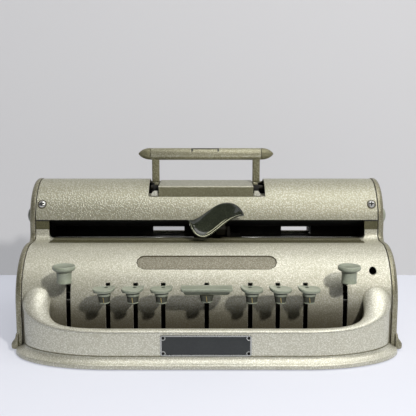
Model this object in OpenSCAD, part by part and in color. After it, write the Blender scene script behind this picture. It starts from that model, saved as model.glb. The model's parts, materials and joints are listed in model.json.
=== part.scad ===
// Manual braille writer, in millimetres.
// +X is to the user's right, -Y is towards the user, +Z is up.
// The origin lies on the table, in the middle of the footprint.

/* [Body] */
// Width over the flat faces of the side covers
body_w = 380; // [372:1:388]
// Depth from the front lip to the rear foot
body_d = 230; // [228:1:232]
// Distance from the front lip back to the front panel
well_d = 55; // [54:0.5:56]
// Radius of the rounded upper front edge of the panel
panel_r = 52.5; // [51.5:0.5:53]
// Height at which the panel starts to curve back
panel_curve_z = 46.6; // [46:0.1:47.2]
// Outer radius of the round top cover
cover_r = 44; // [43.5:0.25:44.5]
// Wall thickness of the castings
wall = 3; // [2.5:0.1:3.2]
// Width of the rounded strip that each side cover shows at the front
side_strip = 6; // [5:0.5:6.5]

/* [Key well guard] */
// Height of the guard's rim at the front
rim_z = 37.5; // [36:0.5:42]
// Height of the guard's arms where they meet the panel
arm_z = 65; // [60:0.5:68]
// Length of the straight front of the guard
guard_straight = 184; // [176:1:190]
// Height of the flared lip
lip_z = 4.4; // [4:0.1:5]

/* [Keys] */
// Distance from the middle to the first dot key
first_key_x = 43.2; // [42:0.1:44]
// Distance between neighbouring dot keys
key_pitch = 27.4; // [26.5:0.1:28]
// Distance from the middle to each outer key
outer_key_x = 137.3; // [135:0.1:139]
// Width of the slots that the key levers pass through
slot_w = 4; // [3.8:0.1:4.4]
// Thickness of the key levers
lever_t = 3; // [2.6:0.1:3]
// Diameter of the dot key caps
cap_d = 23.5; // [22:0.5:24]
// Length of the space bar
space_w = 49.6; // [46:0.2:52]
// Rotation of a key lever when it is pressed down
key_press = 5; // [4:0.5:5]

/* [Carriage] */
// Place of the carriage along the rails
carriage_x = 12; // [0:1:24]
// Diameter of the carriage rails
rail_d = 8; // [6:0.5:8]
// Pitch of the escapement teeth, which is one braille cell
cell_pitch = 6.2; // [6:0.05:6.4]
// Number of braille cells in a line
cells = 42; // [38:1:42]

/* [Handle] */
// Diameter of the handle's grip
grip_d = 13.5; // [12:0.5:14]
// Length of the straight part of the grip
grip_l = 122; // [120:1:124]
// Height of the grip above the table
grip_z = 185.3; // [183:0.1:187]

/* [Paper feed] */
// Diameter of the paper roller
roller_d = 24; // [20:0.5:24]
// Diameter of the feed knobs
knob_d = 20; // [18:0.5:26]

/* [Hidden] */

// Colours of the finishes
paint = [0.66, 0.65, 0.56];
paint_dark = [0.45, 0.45, 0.38];
steel = [0.62, 0.63, 0.64];
dark_steel = [0.22, 0.23, 0.23];
bright = [0.82, 0.83, 0.84];
key_grey = [0.42, 0.44, 0.39];
gunmetal = [0.16, 0.19, 0.17];
black = [0.05, 0.05, 0.05];
brass = [0.72, 0.58, 0.3];

// Roundness: small bores and pins, large rounds
fn_small = 24;
fn_mid = 48;
fn_big = 96;

// Main places, all as Y and Z of the section through the machine
front_y = -body_d / 2;
panel_y = front_y + well_d;
rear_y = 106;
foot_rear_y = body_d / 2;
side_x = body_w / 2;
inner_x = side_x - side_strip;
floor_z = 3;
base_t = 3;
base_top = floor_z + base_t;
panel_cy = panel_y + panel_r;
crest_a = 85.6;
crest_y = panel_cy + panel_r * cos(crest_a);
ledge_z = panel_curve_z + panel_r - 0.7;
cheek_y = 18;
cove_r = 8;
cover_cy = cheek_y + cover_r;
cover_cz = 114;
cover_lip_z = 119.2;
lip_gap = 0.3;
window_half = 169.5;
window_low_z = ledge_z + 0.8;
window_corner = 4.5;
cover_inner_r = cover_r - 1.8;
side_proud = 0.6;

// Frames between which the mechanism is carried
frame_t = 3;
frame_in = 177;

// Key shaft and key levers
shaft_y = 4;
shaft_z = 24;
shaft_d = 8;
run = 0.05;
hub_r = 8;
hub_w = 8;
dot_cap_y = front_y + 29;
outer_cap_y = front_y + 38;
slot_low_z = 22;
slot_top_z = 69.1;
outer_slot_top_z = 76;
tail_top_z = 34;

// Embossing bars, one behind the other under the carriage
bar_first_y = 42;
bar_pitch = 4;
bar_t = 2;
bar_low_z = 70;
bar_top_z = 78;
bar_half = 155;
bar_gap = 0.5;

// Rails, roller, release shaft and handle pivot
front_rail = [30, 92];
rear_rail = [86, 84];
roller_c = [50, 119];
release_c = [84, 132];
handle_c = [61, 148];
journal_d = 8;

// Handle cut-out in the top cover and the bracket that fills its middle
notch_half = 63;
notch_y = 29;
notch_rear_y = 82;
bracket_half = 51.2;
arm_in = 51.7;
arm_out = 60.9;
cover_rear_y = 88;

// A rounded arc of points: centre, radius, first and last angle, steps
function arc(c, r, a0, a1, n) = [
    for (i = [0 : n]) c + r * [cos(a0 + (a1 - a0) * i / n), sin(a0 + (a1 - a0) * i / n)]
];

// A point on a cubic curve through four control points
function bezier(p, t) =
    pow(1 - t, 3) * p[0] + 3 * t * pow(1 - t, 2) * p[1] + 3 * t * t * (1 - t) * p[2] + t * t * t * p[3];

// Skin of a loft: ring count, points in a ring. Rings run along the path.
function loft_faces(rings, k) = concat(
    [for (i = [0 : rings - 2]) for (j = [0 : k - 1])
        [i * k + j, i * k + (j + 1) % k, (i + 1) * k + (j + 1) % k]],
    [for (i = [0 : rings - 2]) for (j = [0 : k - 1])
        [i * k + j, (i + 1) * k + (j + 1) % k, (i + 1) * k + j]],
    [[for (j = [k - 1 : -1 : 0]) j]],
    [[for (j = [0 : k - 1]) (rings - 1) * k + j]]
);

// A solid whose YZ outline runs along X from x0 to x1
module along_x(x0, x1) {
    translate([x0, 0, 0]) rotate([90, 0, 90]) linear_extrude(x1 - x0) children();
}

// A round bar along X, centred on a place in the YZ section
module rod(c, d, x0, x1, fn = fn_mid) {
    translate([x0, c[0], c[1]]) rotate([0, 90, 0]) cylinder(d = d, h = x1 - x0, $fn = fn);
}

// A box from its lowest to its highest corner
module block(lo, hi) {
    translate(lo) cube(hi - lo);
}

// ---------- Castings and covers ----------

// Polar radius of a superellipse, with the angle measured from the front
function oval(b, ax, ay, n) =
    pow(pow(abs(sin(b)) / ax, n) + pow(abs(cos(b)) / ay, n), -1 / n);

guard_cx = guard_straight / 2;
guard_ax = side_x - guard_cx;
guard_foot = 9;
guard_foot_front = 7;
guard_wall_ax = guard_ax - guard_foot;
guard_wall_ay = well_d - guard_foot_front;
guard_arm_w = 26;
guard_rim_w = 8;
guard_steps = 18;
bead = 0.8;
roll_low = 2.4;
floor_inset = 5;

// Height of the rim above the table, for a distance back from the lip
function rim_height(y) =
    rim_z + (arm_z - rim_z) * pow(max(0, min(1, (y - front_y - 11) / (well_d - 11))), 1.6);

// One section of the guard, as radius and height, at the polar angle b. The rolled
// rim is a flat bead at the front and grows into the full round of the arms.
function guard_section(b) =
    let (
        lip = oval(b, guard_ax, well_d, 2),
        outer = oval(b, guard_wall_ax, guard_wall_ay, 2),
        inner = oval(b, guard_wall_ax - guard_arm_w, guard_wall_ay - guard_rim_w, 3),
        half = (outer - inner) / 2,
        mid = (outer + inner) / 2,
        top = rim_height(panel_y - mid * cos(b)),
        share = (top - rim_z) / (arm_z - rim_z),
        roll = roll_low + (half - roll_low) * share,
        foot = outer - lip
    )
    concat(
        [[lip, 1.5], [lip, lip_z - 0.9], [lip + foot * 0.08, lip_z + 0.8]],
        [[lip + foot * 0.45, lip_z + 2.2], [lip + foot * 0.8, lip_z + 4.2]],
        [[lip + foot * 0.97, lip_z + 6], [outer, lip_z + 7.2], [outer, top - roll - 0.4]],
        [for (p = arc([0, 0], 1, 0, 180, 12)) [mid + (half + bead) * p[0], top - roll + roll * p[1]]],
        [[inner, 1.5]]
    );

// The ring of points at the polar angle b, on the right (s = 1) or left (s = -1)
function guard_ring(b, s) = [
    for (p = guard_section(b)) [s * (guard_cx + p[0] * sin(b)), panel_y - p[0] * cos(b), p[1]]
];

// The end ring of an arm, carried on past the panel's face
function moved_back(ring) = [for (p = ring) [p[0], p[1] + 8, p[2]]];

module front_guard() {
    left = [for (i = [guard_steps : -1 : 0]) guard_ring(90 * i / guard_steps, -1)];
    right = [for (i = [0 : guard_steps]) guard_ring(90 * i / guard_steps, 1)];
    rings = concat([moved_back(left[0])], left, right, [moved_back(right[guard_steps])]);
    k = len(rings[0]);
    floor_half = [for (i = [0 : guard_steps])
        let (b = 90 * i / guard_steps, r = oval(b, guard_ax, well_d, 2) - floor_inset)
        [guard_cx + r * sin(b), panel_y - r * cos(b)]];
    floor_outline = concat(
        [for (i = [guard_steps : -1 : 0]) [-floor_half[i][0], floor_half[i][1]]],
        floor_half
    );
    color(paint) difference() {
        union() {
            polyhedron([for (r = rings) for (p = r) p], loft_faces(len(rings), k), convexity = 6);
            translate([0, 0, floor_z]) linear_extrude(base_t) polygon(floor_outline);
        }
        along_x(-side_x - 9, side_x + 9)
            polygon(concat([[panel_y, -1]], panel_arc(0), [[0, panel_curve_z], [0, -1]]));
        for (s = [-1, 1]) block(
            [s > 0 ? inner_x : -side_x - 9, panel_y - side_proud, -1],
            [s > 0 ? side_x + 9 : -inner_x, 0, 80]
        );
    }
}

// Round of the panel up to its crest, inset by i
function panel_arc(i) = arc([panel_cy, panel_curve_z], panel_r - i, 180, crest_a, 20);

// Outer line of the panel, from the bottom up to the window, inset by i
function panel_line(i) = concat(
    [[panel_y + i, floor_z]],
    panel_arc(i),
    [[crest_y + 0.4, ledge_z - i], [cheek_y - cove_r, ledge_z - i]],
    arc([cheek_y - cove_r, ledge_z + cove_r], cove_r + i, -90, 0, 8)
);

function key_x(n) = n == 0 ? 0 : (n <= 3 ? -1 : 1) * (first_key_x + key_pitch * ((n - 1) % 3));

module panel_slot(x, top) {
    block([x - slot_w / 2, panel_y - 1, slot_low_z], [x + slot_w / 2, panel_cy - 8, top]);
}

// The bare recess for a name, a pill sunk into the curve of the panel
recess_w = 141;
recess_h = 17;
recess_angle = 129.5;
recess_depth = 1;

module name_recess() {
    centre = [panel_cy, panel_curve_z];
    intersection() {
        translate([0, panel_cy, panel_curve_z]) rotate([recess_angle - 90, 0, 0])
            translate([0, 0, panel_r - 6]) linear_extrude(12) union() {
                square([recess_w - recess_h, recess_h], center = true);
                for (s = [-1, 1])
                    translate([s * (recess_w - recess_h) / 2, 0]) circle(d = recess_h, $fn = fn_mid);
            }
        difference() {
            rod(centre, 2 * panel_r + 8, -recess_w, recess_w, fn_big);
            rod(centre, 2 * (panel_r - recess_depth), -recess_w - 1, recess_w + 1, fn_big);
        }
    }
}

module front_panel() {
    cheek_back = cheek_y + wall;
    cheek_top_z = cover_lip_z - lip_gap;
    corner_z = window_low_z + window_corner;
    color(paint) difference() {
        along_x(-inner_x, inner_x) polygon(concat(
            panel_line(0),
            [[cheek_y, cheek_top_z], [cheek_back, cheek_top_z], [cheek_back, ledge_z - wall]],
            [for (i = [20 : -1 : 0]) panel_arc(wall)[i]],
            [[panel_y + wall, floor_z]]
        ));
        block([-window_half, cheek_y - cove_r - 1, corner_z], [window_half, cheek_back + 1, 120]);
        block(
            [-window_half + window_corner, cheek_y - cove_r - 1, window_low_z],
            [window_half - window_corner, cheek_back + 1, 120]
        );
        for (s = [-1, 1])
            translate([s * (window_half - window_corner), cheek_y - cove_r - 1, corner_z])
                rotate([-90, 0, 0]) cylinder(r = window_corner, h = 20, $fn = fn_mid);
        for (n = [0 : 6]) panel_slot(key_x(n), slot_top_z);
        for (s = [-1, 1]) panel_slot(s * outer_key_x, outer_slot_top_z);
        name_recess();
        translate([166, panel_y - 1, 79.5]) rotate([-90, 0, 0]) cylinder(d = 7.3, h = 24, $fn = fn_small);
    }
}

// Angle on the top cover's circle of the place where the section reaches y
function cover_angle(y, r) = acos((y - cover_cy) / r);

// A band of the cover's round section between two angles
module cover_band(a0, a1, x0, x1) {
    along_x(x0, x1) polygon(concat(
        arc([cover_cy, cover_cz], cover_r, a0, a1, 28),
        arc([cover_cy, cover_cz], cover_inner_r, a1, a0, 28)
    ));
}

// Outward direction of the cover screws, as an angle above the table
screw_z = 135.5;
screw_x = 177;
screw_a = asin((screw_z - cover_cz) / cover_r);

// Places children on the cover's surface, with +Z pointing outwards
module at_cover_screw(s) {
    translate([s * screw_x, cover_cy, cover_cz]) rotate([90 - screw_a, 0, 0])
        translate([0, 0, cover_r]) children();
}

module top_cover() {
    front_angle = 180 - asin((cover_lip_z - cover_cz) / cover_r);
    color(paint) difference() {
        cover_band(cover_angle(cover_rear_y, cover_r), front_angle, -inner_x, inner_x);
        block([-notch_half, notch_y, cover_cz], [notch_half, notch_rear_y, cover_cz + cover_r + 5]);
        for (s = [-1, 1]) at_cover_screw(s) translate([0, 0, -6]) cylinder(d = 4.2, h = 12, $fn = fn_small);
    }
}

// Section of the side covers, inset by i, from the front foot round to the rear foot
function side_outline(i) =
    let (o = side_proud - i) concat(
        [[panel_y - o, floor_z]],
        panel_arc(-o),
        [[crest_y + 0.4, ledge_z + o]],
        arc([cheek_y - cove_r, ledge_z + cove_r], cove_r - o, -90, 0, 6),
        arc([cover_cy, cover_cz], cover_r + o, 180, 0, 36),
        [[rear_y + o, 22], [rear_y + 1 + o, 17], [rear_y + 3 + o, 12.5], [rear_y + 6 + o, 9.4]],
        [[foot_rear_y - side_proud + o, 8], [foot_rear_y - side_proud + o, floor_z]]
    );

side_round = 3;

// Flared skirt along the foot of a side cover
module side_skirt() {
    translate([0, rear_y, 0]) rotate([90, 0, 0]) linear_extrude(rear_y - panel_y + 3) polygon([
        [side_x - 1, floor_z], [side_x + 4.6, floor_z], [side_x + 5.5, 4.6], [side_x + 5.5, 7.5],
        [side_x + 4.6, 9.6], [side_x + 2.8, 11], [side_x + 1.4, 13], [side_x + 0.3, 16.4], [side_x - 1.2, 18]
    ]);
}

// The right side cover; the left one is its mirror image
module side_cover() {
    rounding = [for (a = [0 : 15 : 90])
        [side_x - side_round + side_round * sin(a), side_round * (1 - cos(a))]];
    layers = concat([[inner_x - 1, 0]], rounding, [[side_x + 1, side_round]]);
    k = len(side_outline(0));
    difference() {
        union() {
            difference() {
                polyhedron(
                    [for (l = layers) for (p = side_outline(l[1])) [l[0], p[0], p[1]]],
                    loft_faces(len(layers), k), convexity = 6
                );
                for (x = [inner_x - 2, side_x]) block([x, panel_y - 10, 0], [x + 2, foot_rear_y + 10, 170]);
            }
            side_skirt();
        }
        block([inner_x - 1, panel_y + 8, base_top + 2], [side_x - wall, rear_y - 8, 84]);
        rod([cover_cy, cover_cz], 2 * (cover_r - 8), inner_x - 1, side_x - wall, fn_mid);
        rod(roller_c, 12, inner_x - 1, side_x + 1, fn_small);
    }
}

module left_side_cover() {
    color(paint) mirror([1, 0, 0]) side_cover();
}

module right_side_cover() {
    color(paint) side_cover();
}

// Long slot at the back through which the margin stops are reached
margin_slot_half = 128;
margin_slot_z = [91.2, 95.8];
rear_top_y = 98;
rear_t = 2.5;

module rear_cover() {
    a_top = acos((rear_top_y - cover_cy) / cover_r);
    color(paint) difference() {
        along_x(-inner_x, inner_x) polygon(concat(
            [[foot_rear_y, floor_z], [foot_rear_y, 8], [rear_y + 6, 9.4]],
            [[rear_y + 3, 12.5], [rear_y + 1, 17], [rear_y, 22]],
            arc([cover_cy, cover_cz], cover_r, 0, a_top, 10),
            arc([cover_cy, cover_cz], cover_r - rear_t, a_top, 0, 10),
            [[rear_y - rear_t, 20], [rear_y - 1.4, 15], [rear_y + 0.8, 10.5]],
            [[rear_y + 4.5, 7], [rear_y + 6, floor_z]]
        ));
        block(
            [-margin_slot_half, rear_y - 4, margin_slot_z[0]],
            [margin_slot_half, rear_y + 2, margin_slot_z[1]]
        );
    }
}

module base_plate() {
    color(dark_steel) block([-inner_x, panel_y + wall, floor_z], [inner_x, rear_y - rear_t, base_top]);
}

foot_d = 18;
foot_places = [[-118, -84], [118, -84], [-160, 88], [160, 88]];

module rubber_feet() {
    color(black) for (p = foot_places)
        translate([p[0], p[1], 0]) cylinder(d = foot_d, h = floor_z, $fn = fn_mid);
}

module cover_screws() {
    color(bright) for (s = [-1, 1]) at_cover_screw(s) difference() {
        union() {
            cylinder(d = 8, h = 0.9, $fn = fn_small);
            translate([0, 0, 0.9]) cylinder(d1 = 8, d2 = 5.6, h = 0.9, $fn = fn_small);
            translate([0, 0, -9]) cylinder(d = 4, h = 9, $fn = fn_small);
        }
        for (a = [0, 90]) rotate([0, 0, a]) block([-2.1, -0.5, 0.7], [2.1, 0.5, 3]);
    }
}

plate_half = 43.3;
plate_z = [12.2, 32.7];
plate_t = 0.8;

module data_plate() {
    y = front_y + guard_foot_front;
    color(black) difference() {
        block([-plate_half, y - plate_t, plate_z[0]], [plate_half, y, plate_z[1]]);
        for (sx = [-1, 1]) for (z = [plate_z[0] + 3, plate_z[1] - 3])
            translate([sx * (plate_half - 3), y - 2, z])
                rotate([-90, 0, 0]) cylinder(d = 1.6, h = 3, $fn = fn_small);
    }
}

// ---------- Frames and fixed works ----------

// The right frame plate, with a tab under the cover screw; the left one is mirrored
module frame_plate() {
    difference() {
        union() {
            along_x(frame_in, frame_in + frame_t) polygon([
                [-50, base_top], [-50, 52], [-44, 68], [-30, 82], [-8, 91], [24, 91],
                [24, 124], [100, 124], [102, 100], [102, base_top]
            ]);
            intersection() {
                rod([cover_cy, cover_cz], 2 * (cover_inner_r - 1.1), frame_in, frame_in + frame_t, fn_big);
                block([frame_in - 1, 22, 90], [frame_in + frame_t + 1, 102, 170]);
            }
            intersection() {
                translate([0, cover_cy, cover_cz]) rotate([90 - screw_a, 0, 0])
                    block([170, -6, cover_inner_r - 4], [frame_in + frame_t, 6, cover_inner_r + 1]);
                rod([cover_cy, cover_cz], 2 * (cover_inner_r - run), 160, 190, fn_big);
            }
        }
        rod([shaft_y, shaft_z], shaft_d, 170, 190);
        rod(front_rail, rail_d, 170, 190);
        rod(rear_rail, rail_d, 170, 190);
        rod(roller_c, journal_d + 2 * run, 165, 190);
        rod(release_c, 6 + 2 * run, 170, 190);
        for (c = tie_places) rod(c, 8, 170, 190);
        at_cover_screw(1) translate([0, 0, -12]) cylinder(d = 4, h = 14, $fn = fn_small);
    }
}

tie_places = [[-22, 76], [94, 14]];

module left_frame() {
    color(steel) mirror([1, 0, 0]) frame_plate();
}

module right_frame() {
    color(steel) frame_plate();
}

module tie_rods() {
    color(steel) for (c = tie_places) rod(c, 8, -frame_in - frame_t, frame_in + frame_t);
}

module key_shaft() {
    color(steel) rod([shaft_y, shaft_z], shaft_d, -frame_in - frame_t, frame_in + frame_t);
}

// Angle rail that stops the dot and space levers at the bottom of their stroke
module key_stop_rail() {
    color(dark_steel) {
        block([-150, -50, base_top], [150, -48, 44.4]);
        block([-150, -54, 44.4], [150, -47, 46.2]);
    }
}

spring_w = 6.6;

// One torsion spring on the key shaft, beside the hub at x, with its leg on the base
module return_spring(x) {
    difference() {
        union() {
            rod([shaft_y, shaft_z], 13, x + hub_w / 2 + 0.4, x + hub_w / 2 + 0.4 + spring_w, fn_small);
            block([x + 6, shaft_y + 4.2, base_top], [x + 7.6, shaft_y + 6, shaft_z]);
        }
        rod([shaft_y, shaft_z], shaft_d, x - 1, x + 20);
    }
}

module key_return_springs() {
    color(steel) {
        for (n = [0 : 6]) return_spring(key_x(n));
        for (s = [-1, 1]) return_spring(s * outer_key_x);
    }
}

module carriage_rails() {
    color(bright) {
        rod(front_rail, rail_d, -frame_in - frame_t, frame_in + frame_t);
        rod(rear_rail, rail_d, -frame_in - frame_t, frame_in + frame_t);
    }
}

function bar_y(n) = bar_first_y + bar_pitch * (n - 1);

guide_x = 150;
guide_t = 3;
guide_top_z = 82.5;
guide_gap = 0.35;

// Combs at both ends that keep the embossing bars upright
module bar_guides() {
    color(steel) for (s = [-1, 1]) translate([s * guide_x - guide_t / 2, 0, 0]) difference() {
        block([0, 36, base_top], [guide_t, 68, guide_top_z]);
        for (n = [1 : 6]) block(
            [-1, bar_y(n) - bar_t / 2 - guide_gap, bar_low_z - 0.5],
            [guide_t + 1, bar_y(n) + bar_t / 2 + guide_gap, guide_top_z + 1]
        );
    }
}

// Bracket that carries the handle and closes the middle of the cover's cut-out
bracket_wall = 4;
bracket_top_z = 154.3;
bracket_y = notch_y + 0.4;
bracket_rear_y = notch_rear_y - 0.6;
flange_z = [139.8, 143];
flange_rear_y = 52;
flange_half = notch_half + 7;

module handle_bracket() {
    color(paint) difference() {
        union() {
            along_x(-bracket_half, bracket_half) polygon([
                [bracket_y, flange_z[0]], [bracket_y, bracket_top_z - 0.8], [bracket_y + 0.8, bracket_top_z],
                [bracket_rear_y - 0.8, bracket_top_z], [bracket_rear_y, bracket_top_z - 0.8],
                [bracket_rear_y, flange_z[0]]
            ]);
            intersection() {
                rod([cover_cy, cover_cz], 2 * (cover_inner_r - run), -flange_half, flange_half, fn_big);
                block([-flange_half, notch_y, flange_z[0]], [flange_half, flange_rear_y, flange_z[1]]);
            }
        }
        block(
            [-bracket_half + bracket_wall, notch_y + bracket_wall, flange_z[0] - 1],
            [bracket_half - bracket_wall, bracket_rear_y - bracket_wall, bracket_top_z - bracket_wall + 1]
        );
        for (s = [-1, 1]) rod(handle_c, 6, s * 49 - 8, s * 49 + 8, fn_small);
    }
}

module handle_pivot_pins() {
    color(steel) for (s = [-1, 1]) rod(handle_c, 6, s * 52 - 10.2, s * 52 + 10.2, fn_small);
}

// Gong on its post, fixed to the inside of the left frame
module bell() {
    color(bright) translate([-frame_in, 84, 46]) rotate([0, 90, 0]) difference() {
        union() {
            cylinder(d = 6, h = 22, $fn = fn_small);
            translate([0, 0, 8]) rotate_extrude($fn = fn_mid) polygon(concat(
                arc([0, 0], 17, 0, 90, 10), arc([0, 0], 15, 90, 0, 10)
            ));
        }
        translate([0, 0, 20]) cylinder(d = 2, h = 5, $fn = fn_small);
    }
}

// Flat spring drum that draws the carriage along, fixed to the right frame
module mainspring_barrel() {
    color(brass) translate([frame_in, 82, 42]) rotate([0, -90, 0]) {
        cylinder(d = 8, h = 22, $fn = fn_small);
        translate([0, 0, 3]) cylinder(d = 40, h = 13, $fn = fn_mid);
        translate([0, 0, 16]) cylinder(d = 34, h = 2, $fn = fn_mid);
    }
}

rack_y = [97, 99.5];
rack_z = [82, 100];
rack_windows = [[-62.9, -26.4], [87, 122]];

// Toothed bar for the escapement, with two windows in line with the margin slot
module escapement_rack() {
    first = -cells * cell_pitch / 2;
    color(steel) difference() {
        block([-frame_in, rack_y[0], rack_z[0]], [frame_in, rack_y[1], rack_z[1]]);
        translate([0, rack_y[1] + 1, 0]) rotate([90, 0, 0]) linear_extrude(5) union()
            for (i = [0 : cells - 1]) polygon([
                [first + i * cell_pitch, rack_z[0] - 1], [first + i * cell_pitch, rack_z[0] + 3],
                [first + (i + 0.8) * cell_pitch, rack_z[0] - 1]
            ]);
        for (x = rack_windows)
            block([x[0], rack_y[0] - 1, rack_z[0] + 6], [x[1], rack_y[1] + 1, rack_z[1] - 2]);
    }
}

// ---------- Keys ----------

// Flat key lever at x: outline of its front arm, then the tail's end
module key_lever(x, arm, tail_y) {
    color(dark_steel) difference() {
        union() {
            along_x(x - lever_t / 2, x + lever_t / 2) polygon(concat(
                arm,
                [[shaft_y + 2, shaft_z + 7], [shaft_y + 16, tail_top_z], [tail_y, tail_top_z]],
                [[tail_y, tail_top_z - 5], [shaft_y + 14, tail_top_z - 9], [shaft_y + 6, shaft_z - 6]]
            ));
            rod([shaft_y, shaft_z], 2 * hub_r, x - hub_w / 2, x + hub_w / 2);
        }
        rod([shaft_y, shaft_z], shaft_d + 2 * run, x - 10, x + 10);
    }
}

// Front arm of the dot and space levers, ending in an upright nose under the cap
nose_z = 65.2;
nose_low_z = 58.4;
dot_arm = [
    [shaft_y - 4, shaft_z - 6.5], [-44, 51], [-80, 57], [dot_cap_y - 3, nose_low_z],
    [dot_cap_y - 3, nose_z], [dot_cap_y + 3, nose_z], [dot_cap_y + 4, 62], [-40, 58.5],
    [shaft_y - 6, shaft_z + 5]
];

// Front arm of the two outer levers, which rises to the taller caps
outer_arm = [
    [shaft_y - 4, shaft_z - 6.5], [-40, 58], [-60, 68.6], [outer_cap_y - 3, 74.6],
    [outer_cap_y - 3, 84], [outer_cap_y + 3, 84], [outer_cap_y + 3, 78.6], [-60, 74.6], [-38, 67],
    [shaft_y - 6, shaft_z + 5]
];

// Slot in the foot of a cap that seats on a lever's nose
module nose_slot(x, y, z) {
    block([x - lever_t / 2, y - 3, z - 20], [x + lever_t / 2, y + 30, z]);
}

// Dished dot cap with its inner end turned up; s = 1 turns up the right end
module dot_cap(x, s) {
    r = cap_d / 2;
    t = 3.4;
    top = 72;
    color(key_grey) translate([x, 0, 0]) mirror([s > 0 ? 0 : 1, 0, 0]) difference() {
        union() {
            intersection() {
                translate([0, dot_cap_y + 20, 0]) rotate([90, 0, 0]) linear_extrude(40) polygon(concat(
                    [[-r, top + 0.4], [-r + 1.2, top - 0.2], [-r + 3, top - 0.8]],
                    arc([1.5, top + 13.2], 14, -90, -43, 8),
                    [[13, top - t + 2.2]],
                    arc([1.5, top + 13.2], 14 + t, -52, -90, 6),
                    [[-r + 2, top - t - 0.8], [-r, top - t + 0.4]]
                ));
                translate([0, dot_cap_y, top - 12]) cylinder(d = cap_d, h = 24, $fn = fn_mid);
            }
            translate([0, dot_cap_y, 64]) cylinder(d = 15.5, h = 5, $fn = fn_mid);
            translate([0, dot_cap_y, 57.8]) cylinder(d1 = 11, d2 = 13, h = 6.4, $fn = fn_mid);
        }
        nose_slot(0, dot_cap_y, nose_z);
    }
}

module space_bar() {
    w = space_w / 2;
    d = 16;
    top = 73.6;
    color(key_grey) difference() {
        union() {
            translate([0, dot_cap_y + d / 2, 0]) rotate([90, 0, 0]) linear_extrude(d) polygon([
                [-w, top + 0.6], [-w + 2.5, top - 0.3], [-w + 5, top - 0.8], [w - 5, top - 0.8],
                [w - 2.5, top - 0.2], [w, top + 0.8], [w - 0.4, top - 1], [w - 2.6, top - 3.4],
                [-w + 2.6, top - 3.4], [-w + 0.4, top - 1.2]
            ]);
            translate([0, dot_cap_y + d / 2 - 1.5, 0]) rotate([90, 0, 0]) linear_extrude(d - 3) polygon([
                [-w + 2.4, top - 3.8], [-w + 4.2, top - 6.6], [w - 4.2, top - 6.6], [w - 2.4, top - 3.8],
                [w - 5, top - 3], [-w + 5, top - 3]
            ]);
            translate([0, dot_cap_y, 59]) cylinder(d1 = 12, d2 = 14, h = 9, $fn = fn_mid);
        }
        nose_slot(0, dot_cap_y, nose_z);
    }
}

// Tall cap of the outer keys: a cup under a wide rounded flange
module outer_cap(x) {
    color(key_grey) translate([x, outer_cap_y, 0]) difference() {
        rotate_extrude($fn = fn_mid) polygon([
            [0, 75], [7, 75], [7.4, 75.4], [7.4, 85], [8, 86.6], [10.2, 88], [11.1, 89.2],
            [11.1, 90.8], [10.6, 92], [9.6, 92.2], [8.4, 91.4], [0, 91.2]
        ]);
        nose_slot(0, 0, 84);
    }
}

// ---------- Embossing works ----------

// Bar n runs the length of the line and rests on its key's tail through a leg
module embossing_bar(n) {
    color(steel) {
        block([-bar_half, bar_y(n) - bar_t / 2, bar_low_z], [bar_half, bar_y(n) + bar_t / 2, bar_top_z]);
        block(
            [key_x(n) - 3, bar_y(n) - bar_t / 2, tail_top_z + bar_gap],
            [key_x(n) + 3, bar_y(n) + bar_t / 2, bar_low_z + 1]
        );
    }
}

carriage_half = 26;
web_z = [86.5, 92];
head_top_z = 104;
pin_d = 2.4;
pivot_c = [30, 109];
lug_x = [carriage_x - 4, carriage_x + 10];
pivot_d = 4;

function pin_x(n) = carriage_x - 7.5 + 3 * (n - 1);

module carriage_body() {
    x0 = carriage_x - carriage_half;
    x1 = carriage_x + carriage_half;
    color(dark_steel) difference() {
        union() {
            block([x0, front_rail[0], web_z[0]], [x1, rear_rail[0], web_z[1]]);
            rod(front_rail, 14, x0, x1);
            rod(rear_rail, 14, x0, x1);
            for (x = [lug_x[0] - 3, lug_x[1]]) {
                block([x, pivot_c[0] - 4, front_rail[1]], [x + 3, pivot_c[0] + 4, pivot_c[1]]);
                rod(pivot_c, 8, x, x + 3, fn_small);
            }
            rod(pivot_c, pivot_d, lug_x[0] - 1, lug_x[1] + 1, fn_small);
            block([carriage_x - 3, rear_rail[0] + 6, 80], [carriage_x + 3, rack_y[0] - 0.6, 84]);
        }
        rod(front_rail, rail_d + 2 * run, x0 - 1, x1 + 1);
        rod(rear_rail, rail_d + 2 * run, x0 - 1, x1 + 1);
        for (n = [1 : 6]) translate([pin_x(n), bar_y(n), 80]) cylinder(d = pin_d, h = 20, $fn = fn_small);
    }
}

module embossing_head() {
    color(steel) difference() {
        block([carriage_x - 14, 39, web_z[1]], [carriage_x + 14, 65, head_top_z]);
        block([carriage_x - 15, 40.5, 99], [carriage_x + 15, 70, 100.2]);
        for (n = [1 : 6]) translate([pin_x(n), bar_y(n), 80]) cylinder(d = pin_d, h = 18.4, $fn = fn_small);
    }
}

module embossing_pins() {
    color(bright) for (n = [1 : 6]) translate([pin_x(n), bar_y(n), 83.8])
        cylinder(d = pin_d, h = 98.4 - 83.8, $fn = fn_small);
}

// Edges of the carriage lever's blade as seen from the front, in X and Z
blade_low = [
    [[-31, 121], [-30, 109], [-23, 102.6], [-16, 102.6]],
    [[-16, 102.6], [-4, 102.6], [10, 126], [27, 126]]
];
blade_high = [
    [[-31, 121.8], [-18, 120.8], [-7, 138.5], [8, 139.5]],
    [[8, 139.5], [18, 140.4], [24.5, 134.5], [27, 129]]
];
blade_steps = 28;

// Point on a two-curve edge for t from 0 to 1, with the joint at t = m
function edge(e, t, m) = t < m ? bezier(e[0], t / m) : bezier(e[1], (t - m) / (1 - m));

// The blade leans back: its upper edge lies further from the user
blade_front_y = -3;
blade_lean = 0.34;
function blade_y(z) = blade_front_y + (z - 102.6) * blade_lean;

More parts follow.
